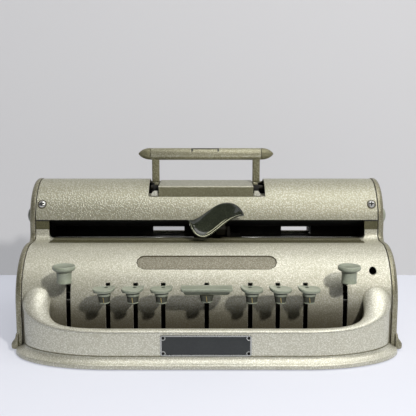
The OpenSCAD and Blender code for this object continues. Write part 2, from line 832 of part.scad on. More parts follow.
// One section across the blade: a dished front with two raised rims, and a plain back
function blade_ring(t) =
    let (
        a = edge(blade_low, t, 0.36),
        b = edge(blade_high, t, 0.6),
        dish = 1.9 * sin(180 * min(1, max(0, t))),
        span = [for (u = [0, 0.1, 0.22, 0.5, 0.8, 0.93, 1]) u],
        depth = [0.9, 0.1, 0.3 + dish, 0.5 + dish, 0.4 + 0.7 * dish, 0.3, 1]
    )
    concat(
        [for (i = [0 : 6]) let (p = a + (b - a) * span[i])
            [carriage_x + p[0], blade_y(p[1]) + depth[i], p[1]]],
        [for (i = [5 : -1 : 1]) let (p = a + (b - a) * span[i])
            [carriage_x + p[0], blade_y(p[1]) + depth[i] + 2.4, p[1]]],
        [let (p = a) [carriage_x + p[0], blade_y(p[1]) + 3.4, p[1]]]
    );

module carriage_lever() {
    rings = [for (i = [0 : blade_steps]) blade_ring(i / blade_steps)];
    k = len(rings[0]);
    arm_x = [lug_x[0] + 0.4, lug_x[1] - 0.4];
    color(gunmetal) difference() {
        union() {
            polyhedron([for (r = rings) for (p = r) p], loft_faces(len(rings), k), convexity = 6);
            along_x(arm_x[0] + 2, arm_x[1] - 2) polygon([
                [pivot_c[0], pivot_c[1] - 3.5], [10, 105], [blade_y(113) + 2.6, 112],
                [blade_y(124) + 2.6, 124], [blade_y(124) + 5, 123], [12, 113.5],
                [pivot_c[0], pivot_c[1] + 3.5]
            ]);
            rod(pivot_c, 8, arm_x[0], arm_x[1], fn_mid);
        }
        rod(pivot_c, pivot_d + 2 * run, arm_x[0] - 1, arm_x[1] + 1, fn_mid);
    }
}

// ---------- Handle ----------

inlay_x = [-16.1, 12.4];

module handle_grip() {
    c = [handle_c[0], grip_z];
    color(paint_dark) difference() {
        rod(c, grip_d, -grip_l / 2, grip_l / 2);
        for (x = inlay_x) block([x - 0.5, c[0] - 8, grip_z + 3], [x + 0.5, c[0], grip_z + 8]);
        block([inlay_x[0], c[0] - 3, grip_z + 5.9], [inlay_x[1], c[0] - 1.4, grip_z + 8]);
        block([inlay_x[0], c[0] - 1.4, grip_z + 6.1], [inlay_x[1], c[0] + 1, grip_z + 8]);
    }
}

// Pointed ends that close the tube of the grip
module handle_end_caps() {
    tip = 14;
    color(paint_dark) for (s = [-1, 1])
        translate([s * grip_l / 2, handle_c[0], grip_z]) rotate([0, s * 90, 0]) rotate_extrude($fn = fn_mid)
            polygon(concat([[0, 0]], [for (i = [0 : 12])
                [grip_d / 2 * pow(1 - pow(i / 12, 1.9), 0.75), tip * i / 12]]));
}

module handle_arms() {
    w = 7.5;
    color(paint_dark) for (s = [-1, 1]) difference() {
        union() {
            block([s > 0 ? arm_in : -arm_out, handle_c[0] - w / 2, handle_c[1]],
                [s > 0 ? arm_out : -arm_in, handle_c[0] + w / 2, grip_z]);
            rod(handle_c, w + 2, s > 0 ? arm_in : -arm_out, s > 0 ? arm_out : -arm_in, fn_mid);
        }
        rod([handle_c[0], grip_z], grip_d, s * 56 - 10, s * 56 + 10);
        rod(handle_c, 6 + 2 * run, s * 56 - 10, s * 56 + 10, fn_mid);
    }
}

// ---------- Paper feed ----------

knob_in = side_x + 0.5;
knob_out = side_x + 8.4;

module paper_roller() {
    color(black) {
        rod(roller_c, roller_d, -172, 172);
        rod(roller_c, journal_d, -knob_out + 3, knob_out - 3);
    }
}

module feed_knobs() {
    r = knob_d / 2;
    h = knob_out - knob_in;
    color(black) for (s = [-1, 1]) translate([s * knob_in, roller_c[0], roller_c[1]]) rotate([0, s * 90, 0])
        difference() {
            rotate_extrude($fn = fn_mid) polygon(concat(
                [[0, 0], [r - 0.6, 0]],
                [for (i = [0 : 10]) [r * cos(9 * i), h - (h - 1.2) * (1 - sin(9 * i))]]
            ));
            translate([0, 0, -1]) cylinder(d = journal_d, h = h - 3 + 1, $fn = fn_mid);
        }
}

ratchet_teeth = 24;

module ratchet_wheel() {
    r = 16;
    color(steel) difference() {
        along_x(-176.4, -172) translate([roller_c[0], roller_c[1]]) polygon([
            for (i = [0 : ratchet_teeth - 1]) for (j = [0, 1])
                let (a = 360 * (i + 0.15 * j) / ratchet_teeth) (r - 2.2 * j) * [cos(a), sin(a)]
        ]);
        rod(roller_c, journal_d, -180, -165);
    }
}

// Cross shaft with a lever at each end that lets go of the paper
module release_levers() {
    color(dark_steel) {
        rod(release_c, 6, -frame_in - frame_t, frame_in + frame_t, fn_small);
        for (s = [-1, 1]) translate([s * 163, 0, 0]) {
            along_x(-2, 2) polygon([
                [release_c[0] - 2, release_c[1] - 2], [release_c[0] + 7, release_c[1] + 17],
                [release_c[0] + 11, release_c[1] + 16], [release_c[0] + 4, release_c[1] - 1]
            ]);
            along_x(-8, 8) polygon([
                [release_c[0] + 6.6, release_c[1] + 16.4], [release_c[0] + 7.4, release_c[1] + 21.2],
                [release_c[0] + 11.6, release_c[1] + 20], [release_c[0] + 10.6, release_c[1] + 15.4]
            ]);
        }
    }
}

// Sliding stop with a finger tab outside the rear cover
module margin_stop(x) {
    color(bright) {
        block([x - 4, rack_y[1] + 0.3, 86], [x + 4, rear_y - rear_t - 0.3, 99]);
        block([x - 2, rack_y[1] + 0.3, margin_slot_z[0] + 0.4], [x + 2, rear_y + 3, margin_slot_z[1] - 0.4]);
        block([x - 5, rear_y + 0.4, margin_slot_z[0] - 1.5], [x + 5, rear_y + 3, margin_slot_z[1] + 1.5]);
    }
}

front_guard();
front_panel();
top_cover();
left_side_cover();
right_side_cover();
rear_cover();
base_plate();
rubber_feet();
cover_screws();
left_frame();
right_frame();
tie_rods();
key_shaft();
key_stop_rail();
key_return_springs();
carriage_rails();
bar_guides();
handle_bracket();
handle_pivot_pins();
bell();
mainspring_barrel();
escapement_rack();
data_plate();
key_lever(key_x(1), dot_arm, bar_y(1) + 3);  // dot_1_lever
dot_cap(key_x(1), 1);  // dot_1_cap
key_lever(key_x(2), dot_arm, bar_y(2) + 3);  // dot_2_lever
dot_cap(key_x(2), 1);  // dot_2_cap
key_lever(key_x(3), dot_arm, bar_y(3) + 3);  // dot_3_lever
dot_cap(key_x(3), 1);  // dot_3_cap
key_lever(key_x(4), dot_arm, bar_y(4) + 3);  // dot_4_lever
dot_cap(key_x(4), -1);  // dot_4_cap
key_lever(key_x(5), dot_arm, bar_y(5) + 3);  // dot_5_lever
dot_cap(key_x(5), -1);  // dot_5_cap
key_lever(key_x(6), dot_arm, bar_y(6) + 3);  // dot_6_lever
dot_cap(key_x(6), -1);  // dot_6_cap
key_lever(0, dot_arm, 40);  // space_lever
space_bar();
key_lever(-outer_key_x, outer_arm, 40);  // line_space_lever
outer_cap(-outer_key_x);  // line_space_cap
key_lever(outer_key_x, outer_arm, 40);  // backspace_lever
outer_cap(outer_key_x);  // backspace_cap
embossing_bar(1);  // embossing_bar_1
embossing_bar(2);  // embossing_bar_2
embossing_bar(3);  // embossing_bar_3
embossing_bar(4);  // embossing_bar_4
embossing_bar(5);  // embossing_bar_5
embossing_bar(6);  // embossing_bar_6
carriage_body();
embossing_head();
embossing_pins();
carriage_lever();
handle_grip();
handle_end_caps();
handle_arms();
paper_roller();
feed_knobs();
ratchet_wheel();
release_levers();
margin_stop(-105);  // left_margin_stop
margin_stop(123);  // right_margin_stop
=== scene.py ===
"""Looks of the manual braille writer: its finishes, dressed castings, caps, lever blade, floor and light."""

import json
import math

import bmesh
import bpy
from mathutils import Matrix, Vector
from mathutils.geometry import tessellate_polygon


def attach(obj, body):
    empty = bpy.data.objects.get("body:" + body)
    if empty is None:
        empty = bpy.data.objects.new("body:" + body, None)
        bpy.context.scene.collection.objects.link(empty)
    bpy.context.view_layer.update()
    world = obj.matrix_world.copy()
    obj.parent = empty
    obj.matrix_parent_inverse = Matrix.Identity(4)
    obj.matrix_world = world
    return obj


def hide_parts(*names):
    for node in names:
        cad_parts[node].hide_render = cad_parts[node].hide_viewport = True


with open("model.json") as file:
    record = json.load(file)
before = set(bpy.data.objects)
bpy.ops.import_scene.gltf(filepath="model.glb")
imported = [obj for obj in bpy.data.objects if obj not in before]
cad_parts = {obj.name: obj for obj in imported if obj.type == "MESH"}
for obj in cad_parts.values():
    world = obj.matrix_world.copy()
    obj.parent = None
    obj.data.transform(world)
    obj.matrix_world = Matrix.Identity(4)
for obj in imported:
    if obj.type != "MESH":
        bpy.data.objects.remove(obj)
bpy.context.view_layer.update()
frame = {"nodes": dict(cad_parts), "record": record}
nodes = frame["nodes"]

MM = 0.001


# ---------- Colours ----------


def tone(red, green, blue):
    """A colour given as it looks on screen, 0 to 255, in the renderer's linear values."""
    linear = []
    for value in (red, green, blue):
        share = value / 255
        linear.append(share / 12.92 if share <= 0.04045 else ((share + 0.055) / 1.055) ** 2.4)
    return (*linear, 1.0)


PAINT_LIGHT = tone(212, 211, 199)
PAINT_DARK = tone(168, 166, 144)
PAINT_WORN = tone(222, 222, 214)
COVER_LIGHT = tone(198, 197, 183)
COVER_DARK = tone(150, 148, 126)
HANDLE_LIGHT = tone(188, 186, 166)
HANDLE_DARK = tone(132, 129, 104)
# Darker tone for the grip's pointed ends: painted shade.
HANDLE_TIP = tone(92, 90, 68)
ARM_LIGHT = tone(150, 147, 122)
ARM_DARK = tone(98, 95, 70)
SHADED_LIGHT = tone(132, 130, 108)
SHADED_DARK = tone(104, 102, 78)
# Lighter copy of the case's enamel for the panel: painted light.
PANEL_LIGHT = tone(220, 219, 208)
PANEL_DARK = tone(170, 168, 148)
# Lighter copy of the case's enamel for the guard: painted light on its rim and arms.
GUARD_LIGHT = tone(230, 230, 220)
GUARD_DARK = tone(182, 180, 162)
# Darker copy of the case's enamel for the end castings: painted shade.
END_LIGHT = tone(180, 177, 158)
END_DARK = tone(132, 128, 104)
# Darker copy for the recess's floor: painted shade.
RECESS_LIGHT = tone(150, 147, 132)
RECESS_DARK = tone(108, 104, 88)
# Darkest copy of the case's enamel: painted shadow on the ledge and under the cover's lip.
SHADOW_ENAMEL_LIGHT = tone(96, 94, 70)
SHADOW_ENAMEL_DARK = tone(70, 68, 46)
# Dark brown for dirt, and for painted shade in corners and low in the key well.
GRIME_AND_SHADE = tone(70, 62, 42)
KEY_GREY = tone(120, 127, 112)
KEY_PALE = tone(166, 171, 154)
BLADE_GREEN = tone(26, 30, 23)
BLADE_EDGE_HIGHLIGHT = tone(66, 70, 56)
BLACKENED = tone(38, 37, 33)
PLAIN_STEEL = tone(70, 68, 62)
BRIGHT_STEEL = tone(196, 196, 193)
BRASS = tone(168, 152, 104)
RUBBER = tone(24, 24, 24)
BORDER_SILVER = tone(196, 197, 192)
WALL = tone(140, 140, 142)
WALL_SEEN = tone(209, 210, 214)
FLOOR = tone(152, 153, 158)
FLOOR_SEEN = tone(214, 217, 228)
SLATE = tone(34, 37, 38)


# ---------- Node groups shared by the finishes ----------


def put(tree, kind, inputs=None, **settings):
    """Adds a node, with its settings and its inputs by name or place: a value, or a socket to link."""
    node = tree.nodes.new(kind)
    for key, value in settings.items():
        setattr(node, key, value)
    for key, value in (inputs or {}).items():
        if isinstance(value, bpy.types.NodeSocket):
            tree.links.new(value, node.inputs[key])
        else:
            node.inputs[key].default_value = value
    return node


def new_group(name, inputs, outputs):
    """An empty shader group with float inputs that have defaults, and named outputs."""
    tree = bpy.data.node_groups.new(name, "ShaderNodeTree")
    for label, default in inputs:
        socket = tree.interface.new_socket(label, in_out="INPUT", socket_type="NodeSocketFloat")
        socket.default_value = default
    for label, kind in outputs:
        tree.interface.new_socket(label, in_out="OUTPUT", socket_type=kind)
    return tree, tree.nodes.new("NodeGroupInput"), tree.nodes.new("NodeGroupOutput")


def math_node(tree, operation, first, second=0.0, clamp=False):
    """One step of arithmetic on values or sockets."""
    node = put(tree, "ShaderNodeMath", {0: first, 1: second}, operation=operation)
    node.use_clamp = clamp
    return node.outputs[0]


def ramp_value(tree, value, low, high, to_low=0.0, to_high=1.0):
    """A value brought smoothly from one range to another."""
    node = put(
        tree,
        "ShaderNodeMapRange",
        {"Value": value, "From Min": low, "From Max": high, "To Min": to_low, "To Max": to_high},
        interpolation_type="SMOOTHSTEP",
    )
    return node.outputs["Result"]


def mix_colour(tree, factor, first, second):
    """The colour that lies between two, by a factor."""
    node = put(tree, "ShaderNodeMix", {"Factor": factor, 6: first, 7: second}, data_type="RGBA")
    return node.outputs[2]


def make_wear_group():
    """Edges that hands have rubbed, corners darkened by dirt and painted shade, and softened edge normals."""
    tree, given, out = new_group(
        "wear_and_dirt",
        [("Edge Radius", 0.0008), ("Dirt Reach", 0.008), ("Wear Grain", 220.0)],
        [("Wear", "NodeSocketFloat"), ("Dirt", "NodeSocketFloat"), ("Normal", "NodeSocketVector")],
    )
    place = tree.nodes.new("ShaderNodeTexCoord").outputs["Object"]
    rounded = put(tree, "ShaderNodeBevel", {"Radius": given.outputs["Edge Radius"]}, samples=4)
    true_normal = tree.nodes.new("ShaderNodeNewGeometry").outputs["Normal"]
    along = put(
        tree, "ShaderNodeVectorMath", {0: rounded.outputs[0], 1: true_normal}, operation="DOT_PRODUCT"
    ).outputs["Value"]
    edge = ramp_value(tree, math_node(tree, "SUBTRACT", 1.0, along), 0.004, 0.12)
    open_air = put(
        tree, "ShaderNodeAmbientOcclusion", {"Distance": given.outputs["Dirt Reach"]}, samples=6
    ).outputs["AO"]
    patchy = put(
        tree, "ShaderNodeTexNoise", {"Vector": place, "Scale": given.outputs["Wear Grain"], "Detail": 3.0}
    ).outputs["Fac"]
    wear = math_node(tree, "MULTIPLY", edge, ramp_value(tree, open_air, 0.55, 0.85))
    wear = math_node(tree, "MULTIPLY", wear, ramp_value(tree, patchy, 0.38, 0.6))
    broad = put(tree, "ShaderNodeTexNoise", {"Vector": place, "Scale": 42.0, "Detail": 4.0}).outputs["Fac"]
    # Dirt and painted shade: darker where the surroundings close in, in broad patches.
    dirt_and_shade = math_node(
        tree, "MULTIPLY", ramp_value(tree, open_air, 0.9, 0.35), ramp_value(tree, broad, 0.25, 0.7, 0.45, 1.0)
    )
    tree.links.new(wear, out.inputs["Wear"])
    tree.links.new(dirt_and_shade, out.inputs["Dirt"])
    tree.links.new(rounded.outputs[0], out.inputs["Normal"])
    return tree


def make_hammer_group():
    """Hammered enamel: small domed cells with fine flakes, and broad clouds over the casting."""
    tree, given, out = new_group(
        "hammered_enamel",
        [("Cells", 430.0), ("Flakes", 1500.0)],
        [("Fleck", "NodeSocketFloat"), ("Cloud", "NodeSocketFloat"), ("Height", "NodeSocketFloat")],
    )
    place = tree.nodes.new("ShaderNodeTexCoord").outputs["Object"]
    drift = put(tree, "ShaderNodeTexNoise", {"Vector": place, "Scale": 260.0, "Detail": 2.0}).outputs["Color"]
    pushed = put(tree, "ShaderNodeVectorMath", {0: drift, "Scale": 0.0022}, operation="SCALE").outputs[0]
    warped = put(tree, "ShaderNodeVectorMath", {0: place, 1: pushed}, operation="ADD").outputs[0]
    cells = put(
        tree,
        "ShaderNodeTexVoronoi",
        {"Vector": warped, "Scale": given.outputs["Cells"], "Smoothness": 0.55},
        feature="SMOOTH_F1",
    ).outputs["Distance"]
    dome = ramp_value(tree, cells, 0.62, 0.12)
    flakes = put(
        tree, "ShaderNodeTexNoise", {"Vector": place, "Scale": given.outputs["Flakes"], "Detail": 2.0}
    ).outputs["Fac"]
    # Painted glints: bright flake specks added to the colour.
    glint = math_node(tree, "MULTIPLY", ramp_value(tree, flakes, 0.36, 0.64), 0.35)
    fleck = math_node(tree, "ADD", math_node(tree, "MULTIPLY", dome, 0.7), glint, clamp=True)
    cloud = put(tree, "ShaderNodeTexNoise", {"Vector": place, "Scale": 16.0, "Detail": 5.0}).outputs["Fac"]
    tree.links.new(fleck, out.inputs["Fleck"])
    tree.links.new(ramp_value(tree, cloud, 0.3, 0.72), out.inputs["Cloud"])
    tree.links.new(dome, out.inputs["Height"])
    return tree


def make_grain_group():
    """Fine mottling and tiny scratches for plastics, steels and rubber."""
    tree, given, out = new_group(
        "fine_grain",
        [("Grain", 900.0), ("Stretch", 1.0)],
        [("Mottle", "NodeSocketFloat"), ("Height", "NodeSocketFloat")],
    )
    place = tree.nodes.new("ShaderNodeTexCoord").outputs["Object"]
    factors = put(tree, "ShaderNodeCombineXYZ", {0: given.outputs["Stretch"], 1: 1.0, 2: 1.0}).outputs[0]
    drawn = put(tree, "ShaderNodeVectorMath", {0: place, 1: factors}, operation="MULTIPLY").outputs[0]
    fine = put(
        tree, "ShaderNodeTexNoise", {"Vector": drawn, "Scale": given.outputs["Grain"], "Detail": 4.0}
    ).outputs["Fac"]
    broad = put(tree, "ShaderNodeTexNoise", {"Vector": place, "Scale": 60.0, "Detail": 3.0}).outputs["Fac"]
    fine_share = math_node(tree, "MULTIPLY", fine, 0.6)
    both = math_node(tree, "ADD", fine_share, math_node(tree, "MULTIPLY", broad, 0.4))
    tree.links.new(ramp_value(tree, both, 0.34, 0.66), out.inputs["Mottle"])
    tree.links.new(fine, out.inputs["Height"])
    return tree


WEAR = make_wear_group()
HAMMER = make_hammer_group()
GRAIN = make_grain_group()


# ---------- Finishes ----------

# Depth of the relief in metres, and how fine the metals' grain is.
MOULDED_RELIEF = 0.00003
METAL_RELIEF = 0.00002
METAL_GRAIN = 700.0


def start_finish(name, metallic, roughness, coat=0.0, specular=0.5):
    """A material with one Principled shader, and the node tree to feed it."""
    material = bpy.data.materials.new(name)
    material.use_nodes = True
    tree = material.node_tree
    shader = tree.nodes["Principled BSDF"]
    shader.inputs["Metallic"].default_value = metallic
    shader.inputs["Roughness"].default_value = roughness
    shader.inputs["Coat Weight"].default_value = coat
    shader.inputs["Specular IOR Level"].default_value = specular
    return material, tree, shader


def use_group(tree, group, **values):
    """Places a shader group in a material, with its own values for the named inputs."""
    node = tree.nodes.new("ShaderNodeGroup")
    node.node_tree = group
    for key, value in values.items():
        node.inputs[key.replace("_", " ")].default_value = value
    return node.outputs


def bump(tree, shader, height, normal, distance):
    """Feeds a height, over a softened normal, to a shader."""
    node = put(
        tree, "ShaderNodeBump", {"Height": height, "Normal": normal, "Distance": distance, "Strength": 1.0}
    )
    tree.links.new(node.outputs[0], shader.inputs["Normal"])


def hammered_paint(
    name, light, dark, cells, wear_share, metallic=0.6, depth=0.00009, rough=(0.5, 0.4), shade_below=None
):
    """Hammered enamel full of metal flake, brighter where the flakes lie flat, worn at the edges.

    Given a pair of heights, painted shade deepens from the upper one down to the lower one.
    """
    material, tree, shader = start_finish(name, metallic, 0.42, coat=0.0)
    marks = use_group(tree, WEAR, Edge_Radius=0.0009, Dirt_Reach=0.009)
    enamel = use_group(tree, HAMMER, Cells=cells)
    colour = mix_colour(tree, enamel["Fleck"], dark, light)
    clouded = mix_colour(tree, math_node(tree, "MULTIPLY", enamel["Cloud"], 0.22), colour, dark)
    # Dirt and painted shade in the corners.
    dirtied_and_shaded = mix_colour(tree, math_node(tree, "MULTIPLY", marks["Dirt"], 0.45), clouded, GRIME_AND_SHADE)
    if shade_below:
        # Painted shade, deepening towards the bottom.
        place = tree.nodes.new("ShaderNodeTexCoord").outputs["Object"]
        height = put(tree, "ShaderNodeSeparateXYZ", {0: place}).outputs["Z"]
        depth_share = ramp_value(tree, height, shade_below[1], shade_below[0], 0.0, 0.85)
        dirtied_and_shaded = mix_colour(tree, depth_share, dirtied_and_shaded, GRIME_AND_SHADE)
    rubbed = mix_colour(tree, math_node(tree, "MULTIPLY", marks["Wear"], wear_share), dirtied_and_shaded, PAINT_WORN)
    tree.links.new(rubbed, shader.inputs["Base Color"])
    sheen = ramp_value(tree, enamel["Fleck"], 0.0, 1.0, *rough)
    tree.links.new(sheen, shader.inputs["Roughness"])
    bump(tree, shader, enamel["Height"], marks["Normal"], depth)
    return material


def moulded(name, colour, pale, roughness, coat, wear_share, grain=900.0, radius=0.0006):
    """Moulded plastic or rubber with fine mottling, and paler rubbed edges."""
    material, tree, shader = start_finish(name, 0.0, roughness, coat=coat)
    marks = use_group(tree, WEAR, Edge_Radius=radius, Dirt_Reach=0.004)
    fine = use_group(tree, GRAIN, Grain=grain)
    mottled = mix_colour(tree, math_node(tree, "MULTIPLY", fine["Mottle"], 0.3), colour, pale)
    # Dirt and painted shade in the corners.
    dirtied_and_shaded = mix_colour(tree, math_node(tree, "MULTIPLY", marks["Dirt"], 0.4), mottled, GRIME_AND_SHADE)
    rubbed = mix_colour(tree, math_node(tree, "MULTIPLY", marks["Wear"], wear_share), dirtied_and_shaded, pale)
    tree.links.new(rubbed, shader.inputs["Base Color"])
    rough = ramp_value(tree, fine["Mottle"], 0.0, 1.0, roughness * 0.85, roughness * 1.15)
    tree.links.new(rough, shader.inputs["Roughness"])
    bump(tree, shader, fine["Height"], marks["Normal"], MOULDED_RELIEF)
    return material


def metal(name, colour, roughness, stretch=1.0, tarnish=0.35, metallic=1.0):
    """Drawn or plated metal with grain along X, and tarnish in its corners."""
    material, tree, shader = start_finish(name, metallic, roughness)
    marks = use_group(tree, WEAR, Edge_Radius=0.0004, Dirt_Reach=0.005)
    fine = use_group(tree, GRAIN, Grain=METAL_GRAIN, Stretch=stretch)
    shade = tuple(0.6 * c for c in colour[:3]) + (1.0,)
    grained = mix_colour(tree, math_node(tree, "MULTIPLY", fine["Mottle"], 0.5), colour, shade)
    dirtied_and_shaded = mix_colour(tree, math_node(tree, "MULTIPLY", marks["Dirt"], tarnish), grained, GRIME_AND_SHADE)
    tree.links.new(dirtied_and_shaded, shader.inputs["Base Color"])
    rough = ramp_value(tree, fine["Mottle"], 0.0, 1.0, roughness * 0.8, roughness * 1.25)
    tree.links.new(rough, shader.inputs["Roughness"])
    bump(tree, shader, fine["Height"], marks["Normal"], METAL_RELIEF)
    return material


# How many hammered cells lie in a metre: coarse on the cover, finest on the handle.
COVER_CELLS = 600.0
ARM_CELLS = 700.0
CASE_CELLS = 760.0
HANDLE_CELLS = 800.0

FINISHES = {
    "hammertone_paint": hammered_paint("hammertone_paint", PAINT_LIGHT, PAINT_DARK, CASE_CELLS, 0.6),
    "handle_paint": hammered_paint("handle_paint", HANDLE_LIGHT, HANDLE_DARK, HANDLE_CELLS, 0.5),
    "dark_steel": metal("dark_steel", BLACKENED, 0.5, stretch=0.3, metallic=0.7),
    "steel": metal("steel", PLAIN_STEEL, 0.38, stretch=0.2),
    "bright_steel": metal("bright_steel", BRIGHT_STEEL, 0.16, stretch=0.3, tarnish=0.5),
    "key_plastic": moulded("key_plastic", KEY_GREY, KEY_PALE, 0.34, 0.35, 0.9),
    # The blade's edges rub paler, and that pale also stands for painted highlights along its rims.
    "lever_plastic": moulded("lever_plastic", BLADE_GREEN, BLADE_EDGE_HIGHLIGHT, 0.2, 0.5, 0.7, radius=0.0005),
    "rubber": moulded("rubber", RUBBER, tone(58, 58, 56), 0.7, 0.0, 0.4, grain=1400.0),
    "brass": metal("brass", BRASS, 0.4, tarnish=0.6),
    "plate_black": moulded("plate_black", SLATE, tone(58, 61, 62), 0.4, 0.0, 0.3),
}
COVER_ENAMEL = hammered_paint(
    "cover_enamel", COVER_LIGHT, COVER_DARK, COVER_CELLS, 0.6, depth=0.00016, rough=(0.46, 0.36)
)
# Panel: the case's enamel lighter, as painted light, and darker towards the bottom of the key well, as
# painted shade.
PANEL_ENAMEL = hammered_paint(
    "panel_enamel", PANEL_LIGHT, PANEL_DARK, CASE_CELLS, 0.6, depth=0.00007, shade_below=(0.022, 0.07)
)
# The guard's enamel, lighter as painted light.
LIT_GUARD_ENAMEL = hammered_paint(
    "lit_guard_enamel", GUARD_LIGHT, GUARD_DARK, CASE_CELLS, 0.6, depth=0.00007, rough=(0.44, 0.32)
)
# The end castings' enamel, darker as painted shade.
SHADED_END_ENAMEL = hammered_paint(
    "shaded_end_enamel", END_LIGHT, END_DARK, CASE_CELLS, 0.8, metallic=0.75, rough=(0.46, 0.34)
)
# The grip's ends, darker as painted shade.
SHADED_TIP_ENAMEL = hammered_paint("shaded_tip_enamel", HANDLE_TIP, HANDLE_DARK, HANDLE_CELLS, 0.3, metallic=0.5)
SHADED_ENAMEL = hammered_paint("shaded_enamel", SHADED_LIGHT, SHADED_DARK, CASE_CELLS, 0.3, metallic=0.5)
# Painted shadow, on the ledge in front of the window and on the cheeks.
PAINTED_SHADOW_ENAMEL = hammered_paint("painted_shadow_enamel", SHADOW_ENAMEL_LIGHT, SHADOW_ENAMEL_DARK, CASE_CELLS, 0.0, metallic=0.3)
# Dark brown standing for shade: the key well's floor, the rings round the screws and the recess's edge.
PAINTED_SHADE_DARK = moulded("painted_shade_dark", tone(62, 58, 44), tone(92, 88, 70), 0.8, 0.0, 0.2)
# Pale plastic for painted highlights on the lever blade's rim.
RIM_HIGHLIGHT = moulded("rim_highlight_paint", tone(150, 152, 128), tone(196, 198, 178), 0.3, 0.3, 0.4)
# The recess's floor, darker as painted shade.
SHADED_RECESS_ENAMEL = hammered_paint("shaded_recess_enamel", RECESS_LIGHT, RECESS_DARK, CASE_CELLS, 0.5, metallic=0.5)
SHADED_ARM = hammered_paint("shaded_arm", ARM_LIGHT, ARM_DARK, ARM_CELLS, 0.9, metallic=0.5)
SCREW_STEEL = metal("screw_steel", tone(226, 226, 222), 0.42, tarnish=0.2)
KEY_FOOT = moulded("key_foot", tone(44, 46, 38), tone(84, 88, 76), 0.5, 0.0, 0.9)
BARE_BORDER = metal("bare_border", BORDER_SILVER, 0.3, tarnish=0.3)
SLOT_OF = {row["node"]: row["material_slot"] for row in frame["record"]["subparts"]}
for cad_name, cad_object in nodes.items():
    cad_object.data.materials.clear()
    cad_object.data.materials.append(FINISHES[SLOT_OF[cad_name]])


# ---------- Making pieces ----------

# Points that lie closer than this are one, in metres; the solids' faces need the wider reach.
MERGE_WITHIN = 2e-6
CAD_MERGE_WITHIN = 5e-6
# Faces of a solid within this many degrees are one face, and edges above the other angle are sharp.
FLAT_WITHIN = 0.4
CAD_SHARP_ANGLE = 30.0


def finish_piece(mesh, name, body, slot, replaced=(), finish=None):
    """Puts a mesh in the scene as a piece that rides on a body."""
    piece = bpy.data.objects.new(name, mesh)
    bpy.context.scene.collection.objects.link(piece)
    mesh.materials.clear()
    mesh.materials.append(finish or FINISHES[slot])
    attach(piece, body)
    if replaced:
        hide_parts(*replaced)
    return piece


def mesh_from(name, points, faces, sharp_angle=38.0):
    """A closed smooth mesh from points in millimetres, with its edges sharp above an angle."""
    mesh = bpy.data.meshes.new(name)
    mesh.from_pydata([tuple(MM * c for c in p) for p in points], [], faces)
    tidy_mesh(mesh, sharp_angle)
    return mesh


def tidy_mesh(mesh, sharp_angle):
    """Merges doubles, turns faces outwards and shades smooth below an angle."""
    work = bmesh.new()
    work.from_mesh(mesh)
    bmesh.ops.remove_doubles(work, verts=work.verts, dist=MERGE_WITHIN)
    bmesh.ops.dissolve_degenerate(work, edges=work.edges, dist=MERGE_WITHIN)
    bmesh.ops.recalc_face_normals(work, faces=work.faces)
    work.to_mesh(mesh)
    work.free()
    mesh.shade_smooth()
    mesh.set_sharp_from_angle(angle=math.radians(sharp_angle))


def dressed_copy(node, name, body, bevel, finish=None, move=None):
    """A CAD node's solid with merged faces, rounded edges and clean shading, in place of the node."""
    mesh = nodes[node].data.copy()
    mesh.name = name
    for vertex in mesh.vertices if move else []:
        vertex.co = move(vertex.co)
    work = bmesh.new()
    work.from_mesh(mesh)
    bmesh.ops.remove_doubles(work, verts=work.verts, dist=CAD_MERGE_WITHIN)
    bmesh.ops.dissolve_limit(
        work,
        angle_limit=math.radians(FLAT_WITHIN),
        verts=work.verts,
        edges=work.edges,
        use_dissolve_boundaries=False,
    )
    work.to_mesh(mesh)
    work.free()
    mesh.shade_smooth()
    mesh.set_sharp_from_angle(angle=math.radians(CAD_SHARP_ANGLE))
    piece = finish_piece(mesh, name, body, SLOT_OF[node], [node], finish)
    if bevel:
        rounding = piece.modifiers.new("rounded_edges", "BEVEL")
        rounding.width = bevel * MM
        rounding.segments = 2
        rounding.limit_method = "ANGLE"
        rounding.angle_limit = math.radians(CAD_SHARP_ANGLE)
        rounding.harden_normals = False
    weighted = piece.modifiers.new("even_shading", "WEIGHTED_NORMAL")
    weighted.keep_sharp = True
    return piece


def skin(rings, closed=False):
    """Faces that join rings of equal length; the first and last are capped unless the run is closed."""
    count = len(rings[0])
    points = [p for ring in rings for p in ring]
    faces = []
    last = len(rings) if closed else len(rings) - 1
    for i in range(last):
        j = (i + 1) % len(rings)
        for k in range(count):
            m = (k + 1) % count
            faces.append((i * count + k, i * count + m, j * count + m, j * count + k))
    if not closed:
        faces.append(tuple(range(count))[::-1])
        faces.append(tuple(range((len(rings) - 1) * count, len(rings) * count)))
    return points, faces


def merged(shells):
    """Several skins as the points and faces of one mesh."""
    points, faces = [], []
    for more_points, more_faces in shells:
        faces += [tuple(i + len(points) for i in face) for face in more_faces]
        points += more_points
    return points, faces


def add_piece(name, body, slot, shells, replaced=(), finish=None, sharp_angle=38.0):
    """A piece made of closed skins in millimetres, put in the scene."""
    finish_piece(mesh_from(name, *merged(shells), sharp_angle), name, body, slot, replaced, finish)


def lathe(profile, centre, steps=48, tall=None, squarish=None):
    """Rings for a turned shape about an upright line: profile is (radius, height) from the bottom up.

    With squarish, a depth share and a power, the rings are rounded oblongs in place of circles.
    """
    rings = []
    for radius, height in profile:
        ring = []
        for i in range(steps):
            turn = 2 * math.pi * i / steps
            reach = radius
            if squarish:
                depth, power = squarish
                reach /= (abs(math.cos(turn)) ** power + abs(math.sin(turn) / depth) ** power) ** (1 / power)
            across, along = reach * math.cos(turn), reach * math.sin(turn)
            lift = tall(across, along) if tall else 0.0
            ring.append((centre[0] + across, centre[1] + along, centre[2] + height + lift))
        rings.append(ring)
    return skin(rings)


